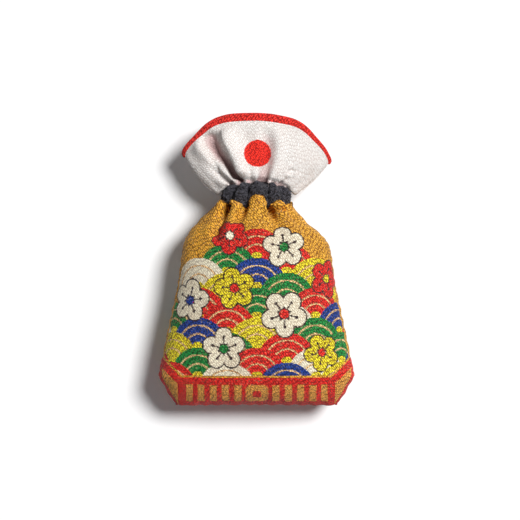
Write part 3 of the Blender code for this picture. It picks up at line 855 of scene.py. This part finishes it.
def crepe_grain(shade, cloth, pitch, lean, stretch):
    """Height, from 0 to 1, of a crepe's short raised strokes, which lie in slanting rows.

    Pitch is the rows' spacing in millimetres and stretch how much longer a stroke is.
    """
    leaning = shade.turned(cloth, lean)
    stirred = shade.vector("SUBTRACT", shade.noise(leaning, 0.55 / pitch, output="Color"), (0.5, 0.5, 0.5))
    stirred = shade.vector("MULTIPLY", stirred, (2.2 * pitch, 2.2 * pitch, 0.0))
    x, y, _ = shade.separate(shade.vector("ADD", leaning, stirred))
    along_row = x / pitch
    row = round(along_row)
    along = y / (pitch * stretch) + shade.chance({"W": row}, "1D")
    stroke = round(along)
    strength = shade.chance({"Vector": shade.combine(row, stroke)}, "2D") * 0.6 + 0.4
    beside, before_end = abs(along_row - row), abs(along - stroke)
    grains = shade.soft(beside, 0.5, 0.1) * shade.soft(before_end, 0.5, 0.28) * strength
    return shade.noise(cloth, 2.2 / pitch) * 0.45 + grains * 0.8


def grain_tone_and_painted_light(shade, colour, height, valley, ridge):
    """Colour darkened between the ribs and lifted on them: partly the threads' own tone, partly painted
    shade and painted highlights.
    """
    tint = shade.mix(shade.soft(height, low=0.26, high=0.66), valley, ridge)
    return shade.mix(1.0, colour, tint, "MULTIPLY")


def faded(shade, cloth, colour, tint, size):
    """Colour with wide soft patches of a duller tint, about the given size in millimetres."""
    patches = shade.soft(shade.noise(cloth, scale=1 / size, detail=3.0), low=0.35, high=0.75)
    return shade.mix(patches, colour, shade.mix(1.0, colour, tint, "MULTIPLY"))


def brocade(marks):
    """Gold brocade with woven waves, blossoms and a red base band."""
    shade = Shade("gold_brocade_weave")
    cloth = shade.field()
    frayed = shade.combine(shade.noise(cloth, scale=1.6) - 0.5, 0.0)
    woven = shade.vector("ADD", shade.snap(cloth, BROCADE_THREAD), frayed)
    seam = shade.separate(cloth)[2]
    colour = waves(shade, woven, GOLD, marks["band"])
    colour = shade.mix(seam < PLAIN_EDGE, colour, GOLD)
    colour = blossoms(shade, woven, colour, marks["blossoms"])
    colour = base_band(shade, woven, colour, marks["band"], marks["bars"])
    colour = faded(shade, cloth, colour, *BROCADE_PATCHES)
    worn = shade.soft(shade.noise(cloth, scale=0.9, detail=3.0), low=0.45, high=0.6)
    rubbed = worn * shade.soft(seam, *RUBBED_EDGE)
    colour = shade.mix(rubbed * RUBBED_STRENGTH, colour, CREAM)
    pitch, relief = BROCADE_GRAIN
    height = crepe_grain(shade, cloth, pitch, BROCADE_LEAN, stretch=2.2)
    red_part, _, blue_part = shade.separate(colour)
    pale = shade.soft(red_part * blue_part, low=0.1, high=0.5)
    # Grain tints, partly the threads' tone and partly painted shade and highlights, milder on pale threads
    tints = [shade.mix(pale, *pair) for pair in zip(GOLD_TINTS, CREAM_TINTS)]
    colour = grain_tone_and_painted_light(shade, colour, height, *tints)
    flecks = shade.soft(shade.noise(cloth, scale=1.5), low=0.60, high=0.68)
    colour = shade.mix(flecks * FLECK_STRENGTH, colour, shade.mix(0.5, CREAM, GOLD))
    return shade.finish_cloth(colour, height, relief, BROCADE_SURFACE)


def waves(shade, cloth, ground, low):
    """Overlapping wave fans, in colours that change from fan to fan."""
    u, v, _ = shade.separate(cloth)
    raised = v - low
    row = shade.math("FLOOR", raised / WAVE_RISE)
    colour = ground
    for step in (1, 0, -1):
        k = row + step
        odd = k % 2 * WAVE_RADIUS
        cell = round((u - odd) / (2 * WAVE_RADIUS))
        centre_u = cell * (2 * WAVE_RADIUS) + odd
        away = shade.combine(u - centre_u, raised - k * WAVE_RISE)
        distance = shade.length(away) / WAVE_RADIUS
        top = abs(centre_u) * WAVE_SLOPE + WAVE_ROWS
        here = (k < top) & (distance < 1.0) & (k > -1.5)
        fan = thread_colour(shade, (k * 3 + cell * 2) % len(FAN_COLOURS))
        ring = shade.math("FRACT", distance * 3.4 + 0.38)
        fan = shade.mix(ring > FAN_LINE_SHARE, fan, shade.mix(0.35, GOLD, CREAM))
        fan = shade.mix(distance < FAN_HEART_SHARE, fan, YELLOW)
        colour = shade.mix(here, colour, fan)
    return colour


def thread_colour(shade, key):
    """One of the fans' thread colours, by a whole number."""
    share = 1 / len(FAN_COLOURS)
    ramp = shade.node("ShaderNodeValToRGB", {"Fac": key * share + share / 2})
    ramp.color_ramp.interpolation = "CONSTANT"
    stops = ramp.color_ramp.elements
    while len(stops) < len(FAN_COLOURS):
        stops.new(1.0)
    for i, (stop, colour) in enumerate(zip(stops, FAN_COLOURS)):
        stop.position = i * share
        stop.color = colour
    return ramp.outputs[0]


def blossoms(shade, cloth, ground, spots):
    """Five-petalled blossoms at the marked places, drawn from the nearest one."""
    nearest, local = FAR_SHARE, shade.combine(FAR_SHARE, FAR_SHARE)
    petal_colour, heart_colour = CREAM, RED
    for (u, v), radius, turn, petals, heart in spots:
        away = shade.vector("SUBTRACT", cloth, (u, v, 0.0))
        away = shade.turned(shade.vector("MULTIPLY", away, (1 / radius, 1 / radius, 0.0)), turn)
        length = shade.length(away)
        closer = length < nearest
        nearest = shade.math("MINIMUM", length, nearest)
        local = shade.mix(closer, local, away)
        petal_colour = shade.mix(closer, petal_colour, petals)
        heart_colour = shade.mix(closer, heart_colour, heart)
    x, y, _ = shade.separate(local)
    fifth = 2 * math.pi / 5
    angle = shade.math("ARCTAN2", y, x) % fifth - fifth / 2
    along = nearest * shade.math("COSINE", angle)
    beside = abs(nearest * shade.math("SINE", angle))
    petal = shade.length(shade.combine(along - PETAL_MIDDLE_SHARE, beside))
    flower = petal < PETAL_SHARE
    colour = shade.mix(flower, ground, petal_colour)
    colour = shade.mix(flower & (petal > PETAL_RIM_SHARE), colour, BROWN)
    stamen = (beside < STAMEN_HALF_SHARE) & (along < STAMEN_END_SHARE)
    tip_place, tip_size = STAMEN_TIP_SHARES
    tip = beside + abs(along - tip_place) < tip_size
    colour = shade.mix(stamen | tip, colour, BROWN)
    return shade.mix(nearest < BLOSSOM_HEART_SHARE, colour, heart_colour)


def base_band(shade, cloth, ground, edge, bars):
    """Red band along the base and up its slanted corners, with gold bars and an ornament."""
    u, v, _ = shade.separate(cloth)
    across = abs(u)
    beyond, from_edge, beside = shade.separate(shade.field("corner"))
    inside = shade.math("MAXIMUM", edge - v, beyond)
    colour = ground
    for start, thread in zip(BAND_LINE, (GOLD, RED)):
        colour = shade.mix(inside > start, colour, thread)

    low, high = bars
    half = (high - low) / 2
    cell = shade.math("MAXIMUM", round((across - BAR_FIRST) / BAR_SPACING), 0.0)
    cell = shade.math("MINIMUM", cell, BAR_COUNT - 1)
    off = abs(across - (cell * BAR_SPACING + BAR_FIRST))
    bar = (v > low) & (v < high) & (off < BAR_HALF_WIDTH)

    wide, tall = across / ORNAMENT_HALF_WIDTH, abs(v - (low + half)) / half
    shape = shade.math("MAXIMUM", shade.math("MAXIMUM", wide, tall), (wide + tall) / ORNAMENT_CUT_SHARE)
    ornament = (shape < 1.0) & (shape > ORNAMENT_HOLE_SHARE)

    block = (beyond > BLOCK_INSET) & (from_edge > BLOCK_MARGIN) & (beside > BLOCK_START)
    return shade.mix(bar | ornament | block, colour, BAR_GOLD)


def crepe(name, base, tints, grain, disc=False):
    """Plain crepe of one colour, with a woven red disc where asked, and painted shade, pinkish, deep in the
    white crepe's folds.
    """
    shade = Shade(name)
    cloth = shade.field()
    colour = base
    if disc:
        away = shade.length(shade.snap(shade.field("corner"), DISC_THREAD))
        inside = shade.noise(cloth, scale=1.4) * 0.5 + away < DISC_RADIUS + DISC_THREAD
        colour = shade.mix(inside, base, DISC_RED)
        tints = [shade.mix(inside, *pair) for pair in zip(tints, RED_TINTS)]
    # Painted shade: the white crepe turns darker and pinker the deeper it lies in a fold
    if base == WHITE:
        fold_depth = shade.separate(cloth)[2]
        colour = shade.mix(shade.soft(fold_depth, *PAINTED_FOLD_SHADE_DEPTHS), colour, PAINTED_FOLD_SHADE, "MULTIPLY")
    colour = faded(shade, cloth, colour, *CREPE_PATCHES)
    pitch, relief = grain
    height = crepe_grain(shade, cloth, pitch, CREPE_LEAN, stretch=2.0)
    colour = grain_tone_and_painted_light(shade, colour, height, *tints)
    return shade.finish_cloth(colour, height, relief, CREPE_SURFACE)


def satin():
    """Smooth lining cloth with a fine straight weave."""
    shade = Shade("ivory_lining_weave")
    cloth = shade.field()
    pitch, relief = LINING_GRAIN
    u, v, _ = shade.separate(cloth)
    warp, weft = (shade.math("SINE", along * (2 * math.pi / pitch)) for along in (u, v))
    height = warp * weft * 0.5 + 0.5
    colour = faded(shade, cloth, IVORY, *LINING_PATCHES)
    colour = shade.mix(height * 0.25, colour, IVORY_SHADE)
    return shade.finish_cloth(colour, height, relief, LINING_SURFACE)


def twisted_cord():
    """Charcoal cord with a slanting twist, read from the object's own place."""
    shade = Shade("charcoal_cord_twist")
    x, y, z = shade.separate(shade.node("ShaderNodeTexCoord").outputs["Object"])
    slant = x + y * 1.4 + z
    height = shade.math("SINE", slant * (2 * math.pi / CORD_PITCH)) * 0.5 + 0.5
    return shade.finish_cloth(shade.mix(height, *CORD_SHADES), height, CORD_RELIEF, CORD_SURFACE)


# Pieces


def dress(piece, slot, body, *nodes):
    """Hangs a piece on its body and hides the frame's parts that it stands for. The slot is not used."""
    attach(piece, body)
    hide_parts(*nodes)


def dress_bending(piece, slot, *nodes):
    """Hides the frame's parts that a piece stands for and bakes its placement into its points. The slot is
    not used.
    """
    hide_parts(*nodes)
    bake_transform(piece)


def valley_share(side, turn):
    """How deep in a gather's valley the cloth lies at the neck, from 0 to 1."""
    return crease_dip(BODY_CREASE_SHARES[side], turn, 0.0, BODY_PLEAT_REACH) / PLEAT_DEPTH


def seam_groove(points):
    """How far the side seams draw the cloth in, by the height above the seam."""
    return SEAM_GROOVE * bell(off_seam(points) / SEAM_GROOVE_WIDTH)


def corner_fields(points):
    """Three fields of the base corners, in millimetres at each point.

    In plan, they are how far the point lies beyond the band's slanted border, its distance
    from the edge of the slanted corner and of the side, and its distance from the centre line.
    """
    beside = np.stack((np.abs(points[..., 0]), points[..., 1]), axis=-1)
    (start_x, start_y), lean = BAND_CORNER, BAND_SLANT
    beyond = (beside[..., 0] - start_x) * math.sin(lean) - (beside[..., 1] - start_y) * math.cos(lean)
    corners = np.array((
        (BASE_HALF_WIDTH, BASE_LEVEL),
        (WIDEST_HALF_WIDTH, BASE_LEVEL + CORNER_HEIGHT),
        (WIDEST_HALF_WIDTH, 0.0),
    ))
    from_edge = np.inf
    for start, end in zip(corners, corners[1:]):
        run = end - start
        share = np.clip((beside - start) @ run / (run @ run), 0.0, 1.0)
        from_edge = np.minimum(from_edge, np.linalg.norm(beside - start - share[..., None] * run, axis=-1))
    return np.stack((beyond, from_edge, beside[..., 0]), axis=-1) / MM


def body_cloth(side):
    """Fine outer surface of one body panel, with its seams, puckers, lumps and folds."""
    last_angle = math.acos(1 - CORNER_HEIGHT / BASE_ROLL)
    roll = BASE_ROLL * (1 - np.cos(np.linspace(0, last_angle, BASE_ROWS)))
    above = CORNER_HEIGHT + (BODY_LENGTH - CORNER_HEIGHT) * np.linspace(0, 1, BODY_ROWS)[1:]
    tip = BODY_LENGTH + PLEAT_TIP * np.linspace(0, 1, TIP_ROWS)[1:]
    height = np.concatenate((roll, above, tip))[:, None]
    turn = spread_turns(BODY_COLUMNS)
    points = body_points(side, height, turn, 0.0)
    cloth = np.concatenate((cloth_coordinates(points), corner_fields(points)), axis=-1)
    rise = off_seam(points)
    cloth[..., 2] = rise / MM
    normals = normals_of(points, side)
    x, y = points[..., 0], points[..., 1]
    from_neck = np.maximum(BODY_LENGTH - height, 0.0)

    move = -seam_groove(points)
    along = y + PUCKER_DRIFT * ripple(y, x * 0, 4 * PUCKER_SPACING, PUCKER_SEED + side)
    pucker = even_wave(along, PUCKER_SPACING) * np.clip(rise / SEAM_GROOVE_WIDTH, 0, 1)
    flank = near_seam(turn, PUCKER_START)
    move += PUCKER_DEPTH * pucker * np.exp(-rise / PUCKER_REACH) * flank
    along = x + BASE_PUCKER_DRIFT * ripple(x, y * 0, 4 * PUCKER_SPACING, BASE_PUCKER_SEED)
    base_pucker = even_wave(along, PUCKER_SPACING) * np.exp(-height / PUCKER_REACH)
    move += BASE_PUCKER_DEPTH * base_pucker * (1 - flank)
    move += LUMP_HEIGHT * ripple(x, y, LUMP_SPACING, LUMP_SEED + side) * smooth_step(rise / LUMP_SPACING)

    inward = smooth_step((1 - np.abs(turn)) / PLEAT_SWELL_EDGE)
    swelling = inward * (1 - valley_share(side, turn))
    move += PLEAT_SWELL * swelling * bell(from_neck / PLEAT_SWELL_REACH)
    past = np.clip((height - BODY_LENGTH) / PLEAT_TIP, 0.0, 1.0)
    move -= PLEAT_TIP_ROLL * (1 - np.sqrt(1 - past**2))
    move += valley_move(points, side, turn, from_neck)
    points = points + normals * move[..., None]
    from_corner = np.hypot(np.abs(x) - BASE_HALF_WIDTH, y - BASE_LEVEL)
    pull = CORNER_PULL * bell(from_corner / CORNER_PULL_REACH)
    points[..., 0] -= np.sign(x) * pull
    points[..., 1] += pull
    points[..., 2] = np.maximum(points[..., 2], 0.0)
    return keep_to_half(points, side), cloth


def valley_move(points, side, turn, from_neck):
    """Moves along the normals in the valleys of the gathers and in the folds below them."""
    move = -VALLEY_DEPTH * valley_share(side, turn) * bell(from_neck / VALLEY_REACH)
    for fold_shape in BODY_FOLDS[side]:
        move = move + fold(points, *fold_shape)
    return move


def nearest_cloth(points, cloth, spot):
    """Cloth coordinates of the point nearest to a plan position."""
    away = np.hypot(points[..., 0] - spot[0], points[..., 1] - spot[1])
    return tuple(float(value) for value in cloth[np.unravel_index(np.argmin(away), away.shape)])


def design_marks(points, cloth):
    """Places of the woven design in cloth coordinates, from where they show in plan."""
    centre = points.shape[1] // 2
    def level(pixel_y):
        return float(np.interp(place(0, pixel_y)[1], points[:, centre, 1], cloth[:, centre, 1]))
    return {
        "band": level(BAND_PIXEL),
        "bars": [level(row) for row in BARS_PIXELS],
        "blossoms": [
            (nearest_cloth(points, cloth, (x * MM, y * MM))[:2], *looks) for (x, y), *looks in BLOSSOMS
        ],
    }


def collar_move(points, climb, side):
    """Moves along the normals that fold and swell the collar's cloth."""
    x, y = points[..., 0], points[..., 1]
    move = COLLAR_LUMP * smooth_step(climb / 0.5) * ripple(x, y, 0.7 * LUMP_SPACING, COLLAR_SEED + side)
    for fold_shape in COLLAR_FOLDS[side]:
        move = move + fold(points, *fold_shape) * smooth_step((FOLDS_END - climb) / FOLDS_FADE)
    lowest = COLLAR_FOLD_FLOOR + ROOT_FLOOR_RISE * smooth_step(2 - climb / COLLAR_FOOT_TOP)
    move = np.maximum(move, -np.maximum(off_seam(points) - lowest, 0.0))
    move = np.where(move > 0, move * smooth_step(climb / (2 * COLLAR_FOOT_TOP)), move)
    return move - COLLAR_FOOT_SINK * smooth_step((COLLAR_FOOT_TOP - climb) * COLLAR_HEIGHT / COLLAR_FOOT)


def hung_loose(move):
    """Moves of a loose inner layer: at each point the deepest of those close to it."""
    for axis in (0, 1):
        margins = [(0, 0), (0, 0)]
        margins[axis] = (LOOSE_POINTS, LOOSE_POINTS)
        padded = np.pad(move, margins, mode="edge")
        near = np.lib.stride_tricks.sliding_window_view(padded, 2 * LOOSE_POINTS + 1, axis=axis)
        move = near.min(axis=-1)
    return move


def collar_surface(side, climb, turn, inset=0.0, loose=False):
    """Folded points of one layer of the collar, which follows the outer layer's folds."""
    step = SLOPE_STEP / COLLAR_HEIGHT
    ahead, behind = (collar_points(side, climb + way * step, turn, 0.0) for way in (1, -1))
    right, left = (collar_points(side, climb, np.clip(turn + way * step, -1, 1), 0.0) for way in (1, -1))
    normals = side * np.cross(right - left, ahead - behind)
    normals /= np.linalg.norm(normals, axis=-1, keepdims=True)
    move = collar_move(collar_points(side, climb, turn, 0.0), climb, side)
    if loose:
        move = hung_loose(move)
    points = collar_points(side, climb, turn, inset) + normals * move[..., None]
    if loose:
        above = points[..., 2] - SEAM_HEIGHT
        points[..., 2] -= FACING_FALL * above * smooth_step(-move / FACING_FALL_DEPTH)
    points[..., 1] -= SKIRT_SAG * near_seam(turn, SKIRT_START) * bell((climb - SKIRT_CLIMB) / SKIRT_REACH)
    return points


def collar_cloth(side, climbs, columns, inset=0.0):
    """Fine surface of one half of the collar, between some climbs."""
    climb, turn = climbs[:, None], spread_turns(columns)
    points = collar_surface(side, climb, turn, inset, loose=inset > 0)
    if inset == 0.0:
        points = points - normals_of(points, side) * seam_groove(points)[..., None]
    cloth = cloth_coordinates(points)
    # The third field is the depth of the folds, which sets the painted shade in them
    cloth[..., 2] = -collar_move(collar_points(side, climb, turn, 0.0), climb, side) / MM
    return keep_to_half(points, side, SEAM_CLEARANCE + inset / 4), cloth


def casing_half(side, turn):
    """Rows round the section of the casing: its puffed outside, upper lip, inside and lower lip."""
    share = np.linspace(0, 1, CASING_ROWS)[:, None]
    edge = 1 - np.sin(math.pi * np.clip(share, 0.0, 1.0)) ** 0.5
    leaning = turn / (1 - by_half(turn, CASING_LEANS[LEFT], CASING_LEANS[RIGHT]) * share)
    valley = valley_share(side, leaning)
    inset = -CASING_PUFF * (1 - CASING_PUFF_LOSS * valley)
    inset = inset + CASING_EDGE_ROLL * edge * (1 - CASING_ROLL_LOSS * valley)
    narrowing = by_half(turn, CASING_NARROWINGS[LEFT], CASING_NARROWINGS[RIGHT])
    inset = inset + narrowing * near_seam(turn, CASING_NARROWING_START)
    raised = pleat_rise(side, turn) * (1 - share) - CASING_DROP * valley * (1 - share) ** 2
    raised = raised - CASING_NOTCH * valley * share**2
    outside = neck_points(side, share, turn, inset, (PLEAT_DEPTH + CASING_CREASE) * valley, raised)
    around, level = turn * CASING_AROUND, share * CASING_HEIGHT
    drift = CASING_DRIFT * ripple(around, level, 4 * CASING_GATHER_SPACING, CASING_DRIFT_SEED + side)
    gathers = even_wave(around + drift, CASING_GATHER_SPACING)
    usual, change = CASING_GATHER_STRENGTHS
    changing = ripple(around, level, 3 * CASING_GATHER_SPACING, CASING_STRENGTH_SEED + side)
    knots = ripple(around, level, CASING_KNOT_SPACING, CASING_KNOT_SEED + side)
    move = CASING_GATHER * gathers * (usual + change * changing) + CASING_KNOT * knots
    move = move * (1 - CASING_EDGE_CALM * edge) - 0.5 * seam_groove(outside)
    outside = outside + normals_of(outside, side) * move[..., None]

    dip = crease_dip(BODY_CREASE_SHARES[side], turn, 0.0, BODY_PLEAT_REACH)
    upper, lower = (
        [neck_points(side, at, turn, CASING_DEPTH, 0.0) for at in shares] for shares in CASING_LIP_SHARES
    )
    wall = [
        neck_points(side, at, turn, CASING_WALL_INSET, dip, pleat_rise(side, turn) * (1 - at))
        for at in CASING_WALL_SHARES
    ]
    return np.concatenate((outside, *upper, *wall, *lower))


def neck_casing(material):
    """The gathered casing: one ring of crumpled cloth with rolled edges, hollow for the cord."""
    turn = spread_turns(CASING_COLUMNS)
    front, back = casing_half(FRONT, turn), casing_half(BACK, turn)[:, ::-1]
    ring = np.concatenate((front[:, :-1], back[:, :-1]), axis=1)
    faces = ring_faces(ring, around=True).tolist()
    cloth = cloth_coordinates(ring).reshape(-1, 3)
    return add_mesh("neck_casing", ring.reshape(-1, 3), faces, cloth, material)


def mouth_edging(side, material):
    """Padded red edging folded over one half of the mouth."""
    turn = spread_turns(COLLAR_COLUMNS)
    half_share = TRIM_WIDTH / COLLAR_HEIGHT / 2
    middle_inset, half_thickness = FACED_THICKNESS / 2, FACED_THICKNESS / 2 + TRIM_PAD
    swell = 1 + TRIM_SWELL * ripple(turn * RIM_HALF_WIDTH, turn * 0, 0.5 * LUMP_SPACING, TRIM_SEED + side)
    rows = []
    for angle in np.linspace(0, 2 * math.pi, TRIM_POINTS + 1)[:-1]:
        round_way = math.cos(angle), math.sin(angle)
        up, out = (math.copysign(abs(value) ** TRIM_ROUNDING, value) for value in round_way)
        climb = np.full((1, 1), 1 - half_share + half_share * up)
        rows.append(collar_surface(side, climb, turn, middle_inset - half_thickness * out * swell)[0])
    ring = keep_to_half(np.array(rows), side)
    faces = ring_faces(ring).tolist()
    ends = np.arange(TRIM_POINTS) * COLLAR_COLUMNS
    faces += [ends.tolist(), (ends + COLLAR_COLUMNS - 1)[::-1].tolist()]
    if side == BACK:
        faces = [face[::-1] for face in faces]
    cloth = cloth_coordinates(ring).reshape(-1, 3)
    name = f"mouth_edging_{SIDE_WORDS[side]}"
    return add_mesh(name, ring.reshape(-1, 3), faces, cloth, material)


def lining_cloth(side, material):
    """Lining from the base seam up through the neck, drawn in under the casing."""
    angle = np.linspace(0, LINING_ROLL_ANGLE, ROLL_ROWS)
    roll = PANEL_INSET + (BASE_ROLL - PANEL_INSET) * (1 - np.cos(angle))
    height = np.concatenate((roll, np.linspace(CORNER_HEIGHT, BODY_LENGTH, LINING_ROWS)[1:]))[:, None]
    turn = spread_turns(LINING_COLUMNS)
    tucked = smooth_step((height - BODY_LENGTH + LINING_TUCK) / LINING_TUCK)
    inset = PANEL_INSET + (NECK_LINING_INSET - PANEL_INSET) * tucked
    low = body_points(side, height, turn, inset, 1 - tucked)
    share = np.linspace(0, 1, NECK_ROWS)[1:, None]
    high = neck_points(side, share, turn, NECK_LINING_INSET, 0.0)
    points = np.concatenate((low, high))
    from_neck = np.concatenate((BODY_LENGTH - height, CASING_HEIGHT * share))
    outer = body_points(side, height, turn, 0.0), neck_points(side, share, turn, 0.0, 0.0)
    inward = hung_loose(np.minimum(valley_move(np.concatenate(outer), side, turn, from_neck), 0.0))
    points = points + normals_of(points, side) * inward[..., None]
    points = keep_to_half(points, side, SEAM_GAP / 2)
    return cloth_shell(f"lining_cloth_{SIDE_WORDS[side]}", points, side, LINING, material)


def build_body():
    """Makes both panels of the body, in the brocade that is marked out on the front."""
    panels = {side: body_cloth(side) for side in SIDE_WORDS}
    gold = brocade(design_marks(*panels[FRONT]))
    for side, word in SIDE_WORDS.items():
        points, cloth = panels[side]
        panel = cloth_shell(f"body_cloth_{word}", points, side, CLOTH, gold, cloth)
        dress(panel, "gold_brocade", "pouch", f"body_{word}")


def build_collar(side, finish, lining_finish):
    """Makes one half of the collar and its facing."""
    word = SIDE_WORDS[side]
    top = 1 - 0.5 * TRIM_WIDTH / COLLAR_HEIGHT
    foot = np.linspace(-COLLAR_FOOT / COLLAR_HEIGHT, 0, FOOT_ROWS)[:-1]
    climbs = np.concatenate((foot, np.linspace(0, top, COLLAR_ROWS)))
    points, cloth = collar_cloth(side, climbs, COLLAR_COLUMNS)
    if side == FRONT:
        from_disc = (points - (*place(*DISC_PIXEL), SEAM_HEIGHT)) * (1, 1, 0) / MM
        cloth = np.concatenate((cloth, from_disc), axis=-1)
    collar = cloth_shell(f"collar_cloth_{word}", points, side, CLOTH, finish, cloth)
    dress_bending(collar, "cream_crepe", f"collar_{word}", f"collar_gather_{word}")
    points, cloth = collar_cloth(side, np.linspace(0.0, top, FACING_ROWS), LINING_COLUMNS, PANEL_INSET)
    facing = cloth_shell(f"collar_lining_{word}", points, side, LINING, lining_finish, cloth)
    dress_bending(facing, "ivory_lining", f"collar_facing_{word}")


def build_pouch():
    """Makes every piece of the pouch, and hangs the body panels, linings and edgings on their bodies."""
    build_body()
    casing_finish = crepe("charcoal_crepe_weave", CHARCOAL, DARK_TINTS, CASING_GRAIN)
    edging_finish = crepe("red_trim_weave", RED, RED_TINTS, TRIM_GRAIN)
    pale_finishes = {
        BACK: crepe("cream_crepe_weave", WHITE, PALE_TINTS, COLLAR_GRAIN),
        FRONT: crepe("cream_crepe_disc_weave", WHITE, PALE_TINTS, COLLAR_GRAIN, disc=True),
    }
    lining_finish = satin()
    dress_bending(neck_casing(casing_finish), "charcoal_crepe", "casing_front", "casing_back")
    for side, word in SIDE_WORDS.items():
        dress(lining_cloth(side, lining_finish), "ivory_lining", "pouch", f"lining_{word}")
        build_collar(side, pale_finishes[side], lining_finish)
        dress(mouth_edging(side, edging_finish), "red_trim", "collar", f"mouth_trim_{word}")
    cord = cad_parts["drawcord"]
    cord.data.materials.clear()
    cord.data.materials.append(twisted_cord())


# Stage


def build_floor():
    """White floor, with a faint glow, which throws less light on the pouch than it shows."""
    edge = (-FLOOR_REACH, FLOOR_REACH)
    corners = [(x, y, 0) for y in edge for x in edge]
    mesh = bpy.data.meshes.new("floor")
    mesh.from_pydata(corners, [], [(0, 1, 3, 2)])
    floor = add_object("floor", mesh)
    floor.location.z = -FLOOR_DROP
    shade = Shade("floor_white")
    rays = shade.node("ShaderNodeLightPath").outputs
    seen = Term(shade, rays["Is Camera Ray"]) | rays["Is Glossy Ray"] | rays["Is Transmission Ray"]
    shade.finish(shade.mix(seen, *FLOOR_SHADES), roughness=0.9, sheen=0.0, specular=0.0)
    shade.shader.inputs["Emission Color"].default_value = (1.0, 1.0, 1.0, 1.0)
    shade.put(seen * FLOOR_GLOW, shade.shader.inputs["Emission Strength"])
    mesh.materials.append(shade.material)


def build_lights():
    """Pale surroundings that light the pouch faintly, and a soft key light from the upper right."""
    world = bpy.data.worlds.new("studio")
    world.use_nodes = True
    nodes, links = world.node_tree.nodes, world.node_tree.links
    rays, strength = nodes.new("ShaderNodeLightPath"), nodes.new("ShaderNodeMapRange")
    strength.inputs["To Min"].default_value = FILL_STRENGTH
    strength.inputs["To Max"].default_value = 1.0
    links.new(rays.outputs["Is Camera Ray"], strength.inputs["Value"])
    links.new(strength.outputs[0], nodes["Background"].inputs["Strength"])
    nodes["Background"].inputs["Color"].default_value = FILL_COLOUR
    bpy.context.scene.world = world

    sun = bpy.data.lights.new("key_light", "SUN")
    sun.energy = KEY_STRENGTH
    sun.angle = KEY_WIDTH
    lamp = add_object("key_light", sun)
    lamp.location = KEY_PLACE
    lamp.rotation_euler = (-lamp.location).to_track_quat("-Z", "Y").to_euler()


def build_camera():
    """Camera straight above the pouch, over the middle of the photograph."""
    lens = bpy.data.cameras.new("camera")
    lens.sensor_width = SENSOR_WIDTH
    lens.lens = SENSOR_WIDTH * (CAMERA_HEIGHT - SEAM_HEIGHT) / (IMAGE_PIXELS * PIXEL)
    camera = add_object("camera", lens)
    middle = IMAGE_PIXELS / 2
    camera.location = (*place(middle, middle), CAMERA_HEIGHT)
    bpy.context.scene.camera = camera


build_pouch()
build_floor()
build_lights()
build_camera()
bpy.context.scene.view_settings.view_transform = "Standard"
